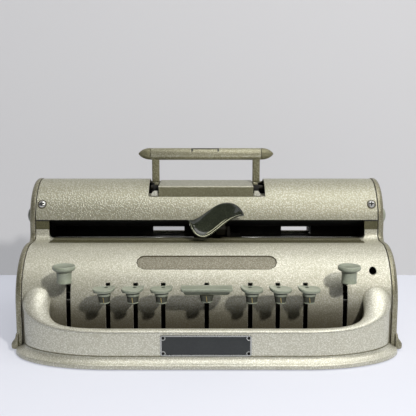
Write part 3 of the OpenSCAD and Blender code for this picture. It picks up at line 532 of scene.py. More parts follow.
def curve_through(points, steps):
    """A smooth line through points, with a number of steps in each span."""
    line = []
    for i in range(len(points) - 1):
        before = points[max(i - 1, 0)]
        start, end = points[i], points[i + 1]
        after = points[min(i + 2, len(points) - 1)]
        for k in range(steps):
            t = k / steps
            line.append(
                tuple(
                    0.5
                    * (
                        2 * b
                        + (c - a) * t
                        + (2 * a - 5 * b + 4 * c - d) * t * t
                        + (3 * b - a - 3 * c + d) * t * t * t
                    )
                    for a, b, c, d in zip(before, start, end, after)
                )
            )
    line.append(tuple(points[-1]))
    return line


# ---------- Heads of pins and screws ----------


def make_heads_tree():
    """Geometry nodes that put a flattened ball on every point, turned about X, with a finish."""
    tree = bpy.data.node_groups.new("domed_heads", "GeometryNodeTree")
    tree.interface.new_socket("Points", in_out="INPUT", socket_type="NodeSocketGeometry")
    inputs = {}
    for label in ("Radius", "Flatness", "Tilt", "Finish"):
        kind = "NodeSocketMaterial" if label == "Finish" else "NodeSocketFloat"
        inputs[label] = tree.interface.new_socket(label, in_out="INPUT", socket_type=kind).identifier
    tree.interface.new_socket("Heads", in_out="OUTPUT", socket_type="NodeSocketGeometry")
    given, out = tree.nodes.new("NodeGroupInput"), tree.nodes.new("NodeGroupOutput")
    ball = put(
        tree, "GeometryNodeMeshUVSphere", {"Segments": 24, "Rings": 12, "Radius": given.outputs["Radius"]}
    )
    flat = put(tree, "ShaderNodeCombineXYZ", {0: 1.0, 1: 1.0, 2: given.outputs["Flatness"]})
    turned = put(tree, "ShaderNodeCombineXYZ", {0: given.outputs["Tilt"], 1: 0.0, 2: 0.0})
    spread = put(
        tree,
        "GeometryNodeInstanceOnPoints",
        {
            "Points": given.outputs["Points"],
            "Instance": ball.outputs["Mesh"],
            "Rotation": turned.outputs[0],
            "Scale": flat.outputs[0],
        },
    )
    real = put(tree, "GeometryNodeRealizeInstances", {"Geometry": spread.outputs[0]})
    coat = put(
        tree, "GeometryNodeSetMaterial", {"Geometry": real.outputs[0], "Material": given.outputs["Finish"]}
    )
    tree.links.new(coat.outputs[0], out.inputs[0])
    return tree, inputs


HEADS, HEADS_INPUTS = make_heads_tree()


def domed_heads(name, points, radius, flatness, tilt, finish):
    """A plain mesh of domed heads at points in millimetres."""
    seeds = bpy.data.meshes.new(name + "_points")
    seeds.from_pydata([tuple(MM * c for c in p) for p in points], [], [])
    holder = bpy.data.objects.new(name + "_holder", seeds)
    bpy.context.scene.collection.objects.link(holder)
    spread = holder.modifiers.new("heads", "NODES")
    spread.node_group = HEADS
    for label, value in (("Radius", radius * MM), ("Flatness", flatness), ("Tilt", tilt), ("Finish", finish)):
        spread[HEADS_INPUTS[label]] = value
    bpy.context.view_layer.update()
    seen = holder.evaluated_get(bpy.context.evaluated_depsgraph_get())
    mesh = bpy.data.meshes.new_from_object(seen)
    mesh.name = name
    holder.modifiers.remove(spread)
    bpy.data.objects.remove(holder)
    tidy_mesh(mesh, 60.0)
    return mesh


# ---------- Castings ----------

# Places of the case in millimetres: X to the right, Y to the back and Z up from the floor.
SIDE_X = 190.4
SEAT_X = 187.0
INNER_X = 184.0
SKIRT_X = 188.5
END_EDGE = 5.0
FRONT_Y = -115.0
PANEL_Y = -60.0
WELL_DEPTH = 55.0
PANEL_R = 52.5
PANEL_CURVE_Z = 46.6
CREST_ANGLE = 85.6
CREST_Y = PANEL_Y + PANEL_R + PANEL_R * math.cos(math.radians(CREST_ANGLE))
LEDGE_Z = 98.4
COVER_CENTRE = (62.0, 114.0)
ROLLER_CENTRE = (50.0, 119.0)
COVER_R = 44.0
GUARD_HALF = 92.0
# Ovals of the guard seen from above: half width, depth and power.
LIP_OVAL = (98.0, WELL_DEPTH, 2)
WALL_OVAL = (89.0, 48.0, 2)
INNER_OVAL = (63.0, 40.0, 3)
FLOOR_OVAL = (66.0, 43.0, 3)
LIP_Z = 4.4
RIM_Z = 37.5
ARM_Z = 65.0
GUARD_STEPS = 46
HANDLE_X = -1.0
SCREW_ANGLE = 29.3
SCREW_X = 177.0


def arc_points(centre, radius, start, end, steps):
    """Points along an arc, with angles in degrees from the first axis."""
    turns = [math.radians(start + (end - start) * i / steps) for i in range(steps + 1)]
    return [(centre[0] + radius * math.cos(t), centre[1] + radius * math.sin(t)) for t in turns]


def circle(centre, radius, count=24):
    """Points all the way round a circle."""
    return arc_points(centre, radius, 0, 360 - 360 / count, count - 1)


def oval(angle, across, along, power):
    """Polar radius of a rounded oval, from the straight-ahead direction."""
    return (abs(math.sin(angle) / across) ** power + abs(math.cos(angle) / along) ** power) ** (-1 / power)


def panel_face(z):
    """How far back the front panel's face lies at a height."""
    if z <= PANEL_CURVE_Z:
        return PANEL_Y
    return PANEL_Y + PANEL_R - math.sqrt(PANEL_R**2 - (z - PANEL_CURVE_Z) ** 2)


def guard_section(angle):
    """Radius and height round the guard's casting: flared lip, wall, rolled rim and inner wall."""
    lip, outer, inner = (oval(angle, *shape) for shape in (LIP_OVAL, WALL_OVAL, INNER_OVAL))
    half = (outer - inner) / 2
    mid = (outer + inner) / 2
    back = PANEL_Y - mid * math.cos(angle)
    share = max(0.0, min(1.0, (back - FRONT_Y - 11) / (WELL_DEPTH - 11))) ** 1.6
    top = RIM_Z + (ARM_Z - RIM_Z) * share
    tall = 2.4 + (half - 2.4) * share
    foot = outer - lip
    flare = curve_through(
        [
            (lip + foot * 0.02, LIP_Z - 1.0),
            (lip + foot * 0.1, LIP_Z + 0.7),
            (lip + foot * 0.45, LIP_Z + 2.0),
            (lip + foot * 0.8, LIP_Z + 4.0),
            (lip + foot * 0.97, LIP_Z + 6.0),
            (outer, LIP_Z + 8.2),
        ],
        4,
    )
    crease = top - tall
    wall = [(outer, LIP_Z + 12), (outer, crease - 2.0)]
    wall += [(outer - 0.15, crease - 0.5), (outer - 0.1, crease - 0.25)]
    roll = [(mid + (half + 0.8) * c, crease + tall * s) for c, s in arc_points((0, 0), 1, 0, 180, 28)]
    return [(lip, 1.5)] + flare + wall + roll + [(inner, crease - 1.5), (inner, 1.5)]


def round_the_well(steps, last):
    """Side, step and angle from the left arm, round the front, to the right arm."""
    for side in (-1, 1):
        for i in range(last, -1, -1) if side < 0 else range(last + 1):
            yield side, i, math.pi / 2 * i / steps


def build_guard():
    """The swept casting round the key well, with pillow-shaped arms that meet the panel."""
    rings = []
    for side, i, angle in round_the_well(GUARD_STEPS, GUARD_STEPS):
        ring = []
        for radius, height in guard_section(angle):
            x = GUARD_HALF + radius * math.sin(angle)
            y = PANEL_Y - radius * math.cos(angle)
            if i == GUARD_STEPS:
                y = panel_face(height)
            if x > INNER_X:
                y = min(y, PANEL_Y - 0.6)
            ring.append((side * x, y, height))
        rings.append(ring)
    add_piece(
        "guard_casting", "casing", "hammertone_paint", [skin(rings)],
        ["front_guard"], LIT_GUARD_ENAMEL, sharp_angle=50.0,
    )


def build_guard_crease():
    """Painted shade in the crease between the guard's wall and its flared lip."""
    rings = []
    for side, _, angle in round_the_well(GUARD_STEPS, GUARD_STEPS - 2):
        reach = oval(angle, *WALL_OVAL)
        ring = []
        for a, b in ((0.3, -0.1), (0.55, -0.7), (0.0, -0.8), (-0.5, -0.4), (0.0, 0.3)):
            x = GUARD_HALF + (reach + a) * math.sin(angle)
            ring.append((side * x, PANEL_Y - (reach + a) * math.cos(angle), LIP_Z + 8.0 + b))
        rings.append(ring)
    add_piece("guard_crease_shade", "casing", "hammertone_paint", [skin(rings)], finish=SHADED_ENAMEL)


def build_well_floor():
    """Floor of the key well, inside the guard's wall, painted dark as shade."""
    outline = []
    for side, _, angle in round_the_well(40, 40):
        radius = oval(angle, *FLOOR_OVAL)
        outline.append((side * (GUARD_HALF + radius * math.sin(angle)), PANEL_Y - radius * math.cos(angle)))
    rings = [[(x, y, z) for x, y in outline] for z in (3.0, 6.0)]
    add_piece("well_floor", "casing", "hammertone_paint", [skin(rings)], finish=PAINTED_SHADE_DARK)


def end_outline(inset):
    """Line of an end casting from its front foot over the top to its rear foot, drawn in by an inset."""
    out = 0.6 - inset
    line = [(PANEL_Y - out, 3.0)]
    line += arc_points((PANEL_Y + PANEL_R, PANEL_CURVE_Z), PANEL_R + out, 180, CREST_ANGLE, 44)
    line += [(CREST_Y + 0.4, LEDGE_Z + out)]
    line += arc_points((10.0, LEDGE_Z + 8), 8 - out, -90, 0, 10)
    line += arc_points(COVER_CENTRE, COVER_R + out, 180, 0, 80)
    line += [(y + out, z) for y, z in ((106, 22), (107, 17), (109, 12.5), (112, 9.4), (114.4, 8), (114.4, 3))]
    return [(y, max(z, 3.0 + inset)) for y, z in line]


def plate_with_bore(x, outline, bore, start, bore_start):
    """Triangles of a flat face with a round hole, by the places of its outline's and bore's points."""
    loops = [[Vector((x, y, z)) for y, z in outline], [Vector((x, y, z)) for y, z in bore]]
    count = len(outline)
    places = [start + i for i in range(count)] + [bore_start + i for i in range(len(bore))]
    return [tuple(places[i] for i in face) for face in tessellate_polygon(loops)]


SKIRT_PROFILE = curve_through(
    [
        (SKIRT_X, 3.0), (194.4, 3.0), (195.4, 4.4), (195.5, 7.2), (194.6, 9.4), (192.9, 11.1), (191.6, 13.2),
        (190.6, 18.0), (SKIRT_X, 19.0),
    ],
    3,
)
# How far back each section of the skirt lies, and its size.
SKIRT_SIZES = (
    (-61.5, 0.72), (-60.8, 0.88), (-59.0, 0.98), (-56.0, 1.0), (80.0, 1.0), (103.0, 0.98), (105.5, 0.8)
)


def build_end_casting(side, node, name):
    """Shallow dished casting at one end of the case: a rounded edge, a bore for the roller and a skirt."""
    rings = [(SEAT_X, 5.6), (INNER_X, 5.6), (INNER_X, 0.0)]
    for i in range(9):
        turn = math.pi / 2 * i / 8
        rings.append((SIDE_X - END_EDGE + END_EDGE * math.sin(turn), END_EDGE * (1 - math.cos(turn))))
    outlines = [end_outline(inset) for _, inset in rings]
    count = len(outlines[0])
    points = [(side * x, y, z) for (x, _), outline in zip(rings, outlines) for y, z in outline]
    faces = []
    for i in range(len(rings) - 1):
        for k in range(count):
            m = (k + 1) % count
            faces.append((i * count + k, i * count + m, (i + 1) * count + m, (i + 1) * count + k))
    bore = circle(ROLLER_CENTRE, 6.0, 16)
    inner_bore = len(points)
    points += [(side * SEAT_X, y, z) for y, z in bore]
    outer_bore = len(points)
    points += [(side * SIDE_X, y, z) for y, z in bore]
    faces += plate_with_bore(SEAT_X, outlines[0], bore, 0, inner_bore)
    faces += plate_with_bore(SIDE_X, outlines[-1], bore, (len(rings) - 1) * count, outer_bore)
    for k in range(len(bore)):
        m = (k + 1) % len(bore)
        faces.append((inner_bore + k, inner_bore + m, outer_bore + m, outer_bore + k))
    skirt = []
    for y, size in SKIRT_SIZES:
        ring = [(SKIRT_X + (x - SKIRT_X) * size, 3.0 + (z - 3.0) * size) for x, z in SKIRT_PROFILE]
        skirt.append([(side * x, y, z) for x, z in ring])
    shells = [(points, faces), skin(skirt)]
    add_piece(name, "casing", "hammertone_paint", shells, [node], SHADED_END_ENAMEL, sharp_angle=35.0)


# In metres: where a middle casting ends and where its end is drawn in to; how far from the middle the
# key slots lie, how far from its middle a slot's side can be, and how far it is moved outwards.
CASTING_END = 0.18395
PARTED_END = 0.1833
KEY_SLOTS = (0.0, 0.0432, 0.0706, 0.098, 0.1373)
SLOT_SIDE = 0.0023
SLOT_EASE = 0.00025


def parted(place):
    """Draws a middle casting's ends in a little, for the dark line where it meets the end castings."""
    if abs(place.x) > CASTING_END:
        place.x = math.copysign(PARTED_END, place.x)
    return place


def parted_panel(place):
    """The panel's ends drawn in, and its key slots opened a little."""
    if place.z < 0.095 and place.y < 0.0:
        for key_x in KEY_SLOTS:
            off = abs(place.x) - key_x if key_x else place.x
            if abs(off) < SLOT_SIDE:
                place.x += math.copysign(SLOT_EASE, off) * (math.copysign(1, place.x) if key_x else 1)
    return parted(place)


def solid_box(low, high):
    """A block's points and faces between two corners."""
    ring = [(low[0], low[1]), (high[0], low[1]), (high[0], high[1]), (low[0], high[1])]
    return skin([[(x, y, z) for x, y in ring] for z in (low[2], high[2])])


def side_boxes(low, high):
    """A block at the left and one at the right, from the right one's corners."""
    return [solid_box((-high[0], *low[1:]), (-low[0], *high[1:])), solid_box(low, high)]


def build_sill():
    """Strips of the ledge in front of the window and of the window's sill, darkened as painted shadow."""
    ledge = solid_box((-166.4, CREST_Y + 0.9, LEDGE_Z - 0.4), (166.4, 9.7, LEDGE_Z + 0.25))
    add_piece("ledge_shade", "casing", "hammertone_paint", [ledge], finish=PAINTED_SHADOW_ENAMEL)
    sill = solid_box((-164.4, 9.9, LEDGE_Z + 0.2), (164.4, 20.9, LEDGE_Z + 1.05))
    add_piece("sill_shade", "casing", "hammertone_paint", [sill], finish=SHADED_ENAMEL)


def build_cover_screws():
    """Domed screws that hold the cover, each with a cross recess painted black as shade and a ring of painted
    shadow round it.
    """
    lean = math.radians(90 - SCREW_ANGLE)
    out = Vector((0.0, -math.sin(lean), math.cos(lean)))
    up = Vector((0.0, math.cos(lean), math.sin(lean)))
    across = Vector((1.0, 0.0, 0.0))
    seats = [Vector((x, COVER_CENTRE[0], COVER_CENTRE[1])) + out * COVER_R for x in (-SCREW_X, SCREW_X)]

    def raised(seat, line, height):
        return [tuple(seat + across * a + up * b + out * height) for a, b in line]

    mesh = domed_heads("cover_screw_heads", [tuple(seat) for seat in seats], 4.0, 0.5, lean, SCREW_STEEL)
    finish_piece(mesh, "cover_screw_heads", "casing", "bright_steel", ["cover_screws"], SCREW_STEEL)
    rings, crosses = [], []
    for seat in seats:
        levels = ((3.7, -0.6), (4.9, -0.6), (4.9, 0.22), (4.5, 0.34), (3.7, 0.3))
        rings.append(skin([raised(seat, circle((0, 0), r), h) for r, h in levels], closed=True))
        for long, short in ((2.4, 0.62), (0.62, 2.4)):
            corners = ((-long, -short), (long, -short), (long, short), (-long, short))
            crosses.append(skin([raised(seat, corners, h) for h in (1.2, 2.04)]))
    add_piece("cover_screw_shadow_rings", "casing", "bright_steel", rings, finish=PAINTED_SHADE_DARK)
    add_piece("cover_screw_recess_shade", "casing", "bright_steel", crosses, finish=FINISHES["rubber"])


def build_cheek_shade():
    """Upper ends of the cheeks under the cover's lip, darkened as painted shadow, with a black strip of
    painted shadow above them.
    """
    plates = side_boxes((168.9, 17.5, 109.4), (183.2, 18.5, 118.2))
    add_piece("cheek_shade", "casing", "hammertone_paint", plates, finish=PAINTED_SHADOW_ENAMEL)
    add_piece("cheek_lip_shadow", "casing", "rubber", side_boxes((168.9, 17.4, 118.2), (183.2, 18.5, 119.1)))


RECESS_ANGLE = math.radians(129.5)
RECESS_HALF = 8.5
RECESS_STRAIGHT = 62.0


def on_panel_curve(x, tall, radius):
    """A point in or by the recess: tall is measured along the slope at the recess's middle."""
    turn = RECESS_ANGLE - math.asin(tall / radius)
    return (x, PANEL_Y + PANEL_R + radius * math.cos(turn), PANEL_CURVE_Z + radius * math.sin(turn))


def build_recess():
    """Floor of the pill-shaped recess, darker as painted shade, and the painted shade line round its edge."""
    rings = []
    for i in range(29):
        tall = (RECESS_HALF - 0.05) * math.sin(math.pi * (i / 28 - 0.5))
        reach = RECESS_STRAIGHT + math.sqrt(RECESS_HALF**2 - tall**2)
        corners = ((-reach, 51.2), (reach, 51.2), (reach, 51.62), (-reach, 51.62))
        rings.append([on_panel_curve(x, tall, radius) for x, radius in corners])
    add_piece("recess_floor", "casing", "hammertone_paint", [skin(rings)], finish=SHADED_RECESS_ENAMEL)
    rings = []
    for side in (1, -1):
        for x, tall in arc_points((0, 0), 1.0, -90, 90, 20):
            ring = []
            for inset, radius in ((-0.35, 51.4), (-0.35, 52.46), (0.1, 52.5), (0.75, 51.75), (0.8, 51.4)):
                reach = RECESS_HALF - inset
                ring.append(on_panel_curve(side * (RECESS_STRAIGHT + reach * x), side * reach * tall, radius))
            rings.append(ring)
    edge = skin(rings, closed=True)
    add_piece("recess_edge_shade", "casing", "hammertone_paint", [edge], finish=PAINTED_SHADE_DARK)


def build_bracket_dress():
    """Front of the handle bracket darkened as painted shade, plates beside it in a lighter enamel as painted
    light, and black strips behind the notch as painted shade.
    """
    front = solid_box((HANDLE_X - 51.1, 29.1, 140.4), (HANDLE_X + 51.1, 29.5, 153.2))
    add_piece("bracket_front", "casing", "hammertone_paint", [front], finish=SHADED_ENAMEL)
    feet = []
    for side in (-1, 1):
        ring = [(52.2, 143.1), (59.6, 143.1), (59.2, 145.5), (57.4, 148.2), (56.2, 148.9), (52.4, 148.9)]
        feet.append(skin([[(HANDLE_X + side * x, y, z) for x, z in ring] for y in (30.6, 32.2)]))
    add_piece("notch_lit_plates", "casing", "hammertone_paint", feet, finish=LIT_GUARD_ENAMEL)
    add_piece("notch_shadow_sheets", "casing", "rubber", side_boxes((50.0, 83.6, 136.0), (72.0, 84.6, 150.0)))


def moved_aside(place):
    """A place of the bracket, moved to stand under the handle."""
    place.x += HANDLE_X * MM
    return place


build_guard()
build_guard_crease()
build_well_floor()
dressed_copy("front_panel", "panel_casting", "casing", 0.5, finish=PANEL_ENAMEL, move=parted_panel)
dressed_copy("top_cover", "cover_casting", "casing", 0.5, finish=COVER_ENAMEL, move=parted)
build_end_casting(-1, "left_side_cover", "left_end_casting")
build_end_casting(1, "right_side_cover", "right_end_casting")
dressed_copy("rear_cover", "rear_casting", "casing", 0.5, finish=COVER_ENAMEL, move=parted)
dressed_copy("handle_bracket", "bracket_casting", "casing", 0.6, finish=COVER_ENAMEL, move=moved_aside)
build_cover_screws()
build_sill()
build_cheek_shade()
build_recess()
build_bracket_dress()


# ---------- Keys ----------

FIRST_KEY_X = 43.2
KEY_PITCH = 27.4
OUTER_KEY_X = 137.3
CAP_Y = -86.0
OUTER_CAP_Y = -77.0
CAP_TOP = 72.0
BAR_HALF = 24.8
BAR_DEPTH = 8.0
BAR_FLAT = 17.0


def build_dot_cap(number, x, turn):
    """Flat cap with a stepped edge on a narrower tier; its end towards the middle is turned up."""

    def rise(across, _):
        u = across * turn - 1.0
        return 22.0 - math.sqrt(22.0**2 - u * u) if u > 0 else 0.0

    def half_rise(across, along):
        return 0.5 * rise(across, along)

    oblong = (0.86, 2.5)
    plate = lathe(
        [
            (0.05, -3.3), (5.0, -3.3), (9.0, -3.3), (9.9, -3.25), (10.25, -3.1), (10.4, -2.7), (10.42, -2.1),
            (10.5, -1.85), (10.85, -1.7), (10.95, -1.3), (10.95, -0.6), (10.8, -0.2), (10.4, 0.0),
            (9.6, -0.02), (8.4, -0.3), (6.5, -0.5), (4.5, -0.55), (2.5, -0.5), (0.05, -0.5),
        ],
        (x, CAP_Y, CAP_TOP), steps=72, tall=rise, squarish=oblong,
    )
    tier = lathe(
        [
            (0.05, -7.4), (5.6, -7.4), (6.2, -7.2), (6.6, -6.6), (6.7, -5.4), (6.6, -4.5), (6.0, -4.1),
            (4.5, -3.2), (0.05, -3.2),
        ],
        (x, CAP_Y, CAP_TOP), steps=56, tall=half_rise, squarish=(0.95, 2.2),
    )
    add_piece(
        "dot_%d_cap_moulding" % number, "dot_%d_key" % number, "key_plastic",
        [plate, tier], ["dot_%d_cap" % number], sharp_angle=40.0,
    )
    build_key_foot("dot_%d" % number, x, low=57.8, high=64.8, radius_low=5.3, radius_high=5.9)
    profile = [(0.05, 0.0), (1.9, 0.0), (2.1, 0.15), (1.9, 0.35), (0.05, 0.5)]
    plug = lathe(profile, (x + 1.6 * turn, CAP_Y + 5.6, CAP_TOP - 0.6), steps=24)
    add_piece("dot_%d_cap_plug" % number, "dot_%d_key" % number, "key_plastic", [plug], finish=KEY_FOOT)


def build_key_foot(key, x, low, high, radius_low, radius_high):
    """Dark socket under a cap on a pale rolled foot, and the brass tongue that shows in its front."""
    socket = lathe(
        [
            (0.05, low + 0.5), (radius_low - 0.2, low + 0.5), (radius_high, high - 0.6),
            (radius_high - 0.2, high), (0.05, high),
        ],
        (x, CAP_Y, 0.0), steps=40,
    )
    add_piece(key + "_cap_socket", key + "_key", "key_plastic", [socket], finish=KEY_FOOT, sharp_angle=50.0)
    foot = lathe(
        [
            (0.05, low), (radius_low - 0.4, low), (radius_low, low + 0.25), (radius_low + 0.15, low + 0.7),
            (radius_low - 0.1, low + 1.2), (0.05, low + 1.3),
        ],
        (x, CAP_Y, 0.0), steps=40,
    )
    add_piece(key + "_cap_foot", key + "_key", "key_plastic", [foot], sharp_angle=50.0)
    front = CAP_Y - radius_high - 0.2
    ring = [(x - 0.42, front), (x + 0.42, front), (x + 0.42, CAP_Y - 3.0), (x - 0.42, CAP_Y - 3.0)]
    lean = [[(px + tilt, py, z) for px, py in ring] for z, tilt in ((low + 1.4, 0.3), (high - 0.4, -0.3))]
    add_piece(key + "_cap_tongue", key + "_key", "brass", [skin(lean)])


def rounded_bar(length, depth, radius, steps=8):
    """Outline of a bar with round corners, as (x, y)."""
    corners = ((1, 1, 0), (-1, 1, 90), (-1, -1, 180), (1, -1, 270))
    line = []
    for sx, sy, start in corners:
        line += arc_points((sx * (length - radius), sy * (depth - radius)), radius, start, start + 90, steps)
    return line


def build_space_bar():
    """Long two-tiered bar with its ends turned up a little."""

    def tier(levels, rise):
        rings = []
        for inset, z in levels:
            outline = rounded_bar(BAR_HALF - inset, BAR_DEPTH - min(inset, 7.0), max(0.4, 3.0 - inset * 0.4))
            lifts = [rise * (max(0.0, abs(x) - BAR_FLAT) / 8.0) ** 2 for x, _ in outline]
            rings.append([(x, CAP_Y + y, z + lift) for (x, y), lift in zip(outline, lifts)])
        return skin(rings)

    top = CAP_TOP + 0.9
    upper = tier(
        [
            (5.5, top - 3.4), (0.7, top - 3.4), (0.3, top - 3.1), (0.25, top - 1.9), (0.0, top - 1.7),
            (0.0, top - 0.5), (0.3, top - 0.1), (0.9, top), (5.0, top),
        ],
        0.9,
    )
    lower = tier(
        [
            (6.0, top - 6.7), (4.6, top - 6.7), (4.0, top - 6.4), (2.6, top - 4.6), (2.5, top - 4.1),
            (3.0, top - 3.9), (6.0, top - 3.8),
        ],
        0.5,
    )
    add_piece(
        "space_bar_moulding", "space_key", "key_plastic", [upper, lower], ["space_bar"], sharp_angle=50.0
    )
    build_key_foot("space", 0.0, low=59.0, high=66.4, radius_low=5.8, radius_high=6.8)


def build_outer_cap(key, x):
    """Tall cup under a wide flange with a rounded, slightly hollow top."""
    cup = lathe(
        [
            (0.05, 75.0), (6.7, 75.0), (7.35, 75.2), (7.6, 75.7), (7.55, 76.2), (7.25, 76.6), (7.2, 80.0),
            (7.3, 84.2), (7.5, 85.0), (7.5, 85.4), (7.15, 85.7), (7.2, 86.1), (8.4, 86.9), (9.9, 87.7),
            (10.8, 88.5), (11.1, 89.3), (11.15, 90.3), (10.95, 91.3), (10.4, 92.0), (9.7, 92.2), (8.8, 91.9),
            (7.6, 91.4), (4.0, 91.1), (0.05, 91.0),
        ],
        (x, OUTER_CAP_Y, 0.0), steps=64,
    )
    add_piece(key + "_cap_moulding", key + "_key", "key_plastic", [cup], [key + "_cap"], sharp_angle=60.0)


for place in range(3):
    key_x = FIRST_KEY_X + KEY_PITCH * place
    build_dot_cap(place + 1, -key_x, 1)
    build_dot_cap(place + 4, key_x, -1)
build_space_bar()
build_outer_cap("line_space", -OUTER_KEY_X)
build_outer_cap("backspace", OUTER_KEY_X)


# ---------- Carriage lever ----------

CARRIAGE_X = 12.0
BLADE_LOW = (
    ((-31, 121.6), (-30.4, 110.5), (-23.5, 103.8), (-16, 103.8)),
    ((-16, 103.8), (-4, 103.8), (9, 125.4), (27, 125.9)),
)
BLADE_HIGH = (
    ((-31, 121.9), (-18, 120.6), (-7, 138.3), (8, 139.3)),
    ((8, 139.3), (18, 140.1), (24.5, 134.0), (27.2, 128.0)),
)
LOW_JOINT = 0.36
HIGH_JOINT = 0.6


def on_edge(edge, t, joint):
    """A point on an edge made of two cubic curves."""
    first, second = edge
    curve, u = (first, t / joint) if t < joint else (second, (t - joint) / (1 - joint))
    weights = ((1 - u) ** 3, 3 * u * (1 - u) ** 2, 3 * u * u * (1 - u), u**3)
    return tuple(sum(w * p[i] for w, p in zip(weights, curve)) for i in (0, 1))


def blade_edges(t):
    """The blade's lower and upper edge at a share of its length."""
    return on_edge(BLADE_LOW, t, LOW_JOINT), on_edge(BLADE_HIGH, t, HIGH_JOINT)


def on_blade(x, z, depth):
    """A point behind the blade's leaning front by a depth."""
    return (CARRIAGE_X + x, -3.0 + (z - 102.6) * 0.34 + depth, z)


def build_blade():
    """Dished S-shaped blade with a rolled rim along its lower edge and a thin upper edge."""
    section = (
        (0.0, 2.2), (0.12, 1.3), (0.45, 0.55), (0.9, 0.15), (1.35, 0.0), (1.75, 0.1), (2.0, 0.45), (2.3, 0.6),
        (2.6, 0.35), (2.9, 0.25), (3.25, 0.6), (3.7, 1.4), (4.5, 2.3), (5.8, 2.9),
    )
    rings = []
    steps = 96
    for i in range(steps + 1):
        t = i / steps
        low, high = blade_edges(t)
        width = math.dist(low, high)
        size = min(1.0, width / 13.0)
        swell = math.sin(math.pi * t) ** 0.7

        def point(along, depth):
            share = min(1.0, along / width) if width else 0.0
            x = low[0] + (high[0] - low[0]) * share
            z = low[1] + (high[1] - low[1]) * share
            return on_blade(x, z, depth)

        front = [point(s * size, d * size) for s, d in section]
        deep = section[-1][1] * size
        for share in (0.25, 0.45, 0.65, 0.82, 0.93):
            along = section[-1][0] * size + (width - section[-1][0] * size) * share
            front.append(point(along, deep * (1 - share) + 0.5 * swell * math.sin(math.pi * share)))
        front += [point(width - 0.5 * size, 0.0), point(width, 0.5)]
        hollow = ((1.0, 1.6), (0.8, 3.0), (0.5, 4.6), (0.2, 4.8))
        back = [point(width * share, depth) for share, depth in hollow]
        rings.append(front + back + [point(0.4 * size, 3.2)])
    add_piece(
        "lever_blade", "carriage_release", "lever_plastic",
        [skin(rings)], ["carriage_lever"], sharp_angle=60.0,
    )


def build_blade_arm():
    """Arm behind the blade, with the eye that turns on the carriage's pin."""
    outline = (
        (30.0, 105.6), (9.5, 105.0), (3.4, 112.0), (7.4, 124.0), (9.8, 123.0), (12.0, 113.4), (30.0, 112.4)
    )
    rings = [[(x, y, z) for y, z in outline] for x in (CARRIAGE_X - 1.6, CARRIAGE_X + 7.6)]
    arm = skin(rings)
    eye = []
    for x, radius in ((-3.6, 2.05), (-3.6, 3.7), (-3.3, 4.0), (9.3, 4.0), (9.6, 3.7), (9.6, 2.05)):
        eye.append([(CARRIAGE_X + x, y, z) for y, z in circle((30.0, 109.0), radius)])
    add_piece(
        "lever_arm", "carriage_release", "lever_plastic",
        [arm, skin(eye, closed=True)], finish=FINISHES["dark_steel"],
    )


def build_blade_rim():
    """Pale bead along the blade's lower edge, and the fold line inside it, both pale as painted highlights.
    """

    def bead(start, end, inward, forward, thick):
        rings = []
        for i in range(61):
            t = start + (end - start) * i / 60
            low, high = blade_edges(t)
            ahead, behind = blade_edges(min(1.0, t + 0.01))[0], blade_edges(max(0.0, t - 0.01))[0]
            run = Vector((ahead[0] - behind[0], ahead[1] - behind[1])).normalized()
            side = Vector((-run.y, run.x))
            if side.dot(Vector((high[0] - low[0], high[1] - low[1]))) < 0:
                side = -side
            r = thick * min(1.0, 4 * (t - start) / (end - start) + 0.15, 4 * (end - t) / (end - start) + 0.15)
            ring = []
            for a, b in circle((inward, -forward), r, 12):
                x, z = low[0] + side.x * a, low[1] + side.y * a
                ring.append(on_blade(x, z, b))
            rings.append(ring)
        return skin(rings)

    add_piece(
        "lever_blade_rim_highlight", "carriage_release", "lever_plastic",
        [bead(0.02, 0.97, 1.7, -0.1, 0.5), bead(0.4, 0.8, 3.4, -0.8, 0.45)], finish=RIM_HIGHLIGHT,
    )


build_blade()
build_blade_rim()
build_blade_arm()


# ---------- Handle ----------

GRIP_Y = 61.0
GRIP_Z = 186.2
GRIP_HALF = 60.9
GRIP_R = 6.35


def grip_section():
    """Section of the grip: a round upper shell, and a lower one that stands out at the seam."""
    upper = arc_points((0, 0), GRIP_R, 196, -16, 44)
    lower = arc_points((0, 0), GRIP_R + 0.45, -19, -161, 28)
    return upper + lower


def build_grip():
    """Shell of the grip, and the gap round the inlay on it, painted black as its shadow."""
    outline = grip_section()
    rings = []
    for x, size in ((-GRIP_HALF, 0.97), (-GRIP_HALF + 0.4, 1.0), (GRIP_HALF - 0.4, 1.0), (GRIP_HALF, 0.97)):
        rings.append([(HANDLE_X + x, GRIP_Y + y * size, GRIP_Z + z * size) for y, z in outline])
    add_piece("grip_shell", "handle", "handle_paint", [skin(rings)], ["handle_grip"], sharp_angle=40.0)
    strips = []
    for low_x, high_x, low, high in ((-17.2, 13.5, 58, 74), (-17.2, -15.4, 28, 62), (11.7, 13.5, 28, 62)):
        under, over = (arc_points((0, 0), r, 180 - low, 180 - high, 8) for r in (GRIP_R - 0.4, GRIP_R + 0.06))
        outline = under + over[::-1]
        strips.append(skin([[(x, GRIP_Y + y, GRIP_Z + z) for y, z in outline] for x in (low_x, high_x)]))
    add_piece("grip_inlay_gap", "handle", "rubber", strips)


def build_grip_ends():
    """Pointed caps that close the grip, each behind a dark joint line, painted darker as shade."""
    shells = []
    for side in (-1, 1):
        rings = []
        for i in range(21):
            share = i / 20
            radius = (GRIP_R + 0.1) * max(0.01, 1 - share**2.1) ** 0.72
            x = HANDLE_X + side * (GRIP_HALF + 0.35 + 13.6 * share)
            rings.append([(x, GRIP_Y + y, GRIP_Z + z) for y, z in circle((0, 0), radius, 48)])
        shells.append(skin(rings))
    add_piece(
        "grip_end_caps", "handle", "handle_paint", shells, ["handle_end_caps"], SHADED_TIP_ENAMEL, sharp_angle=50.0
    )


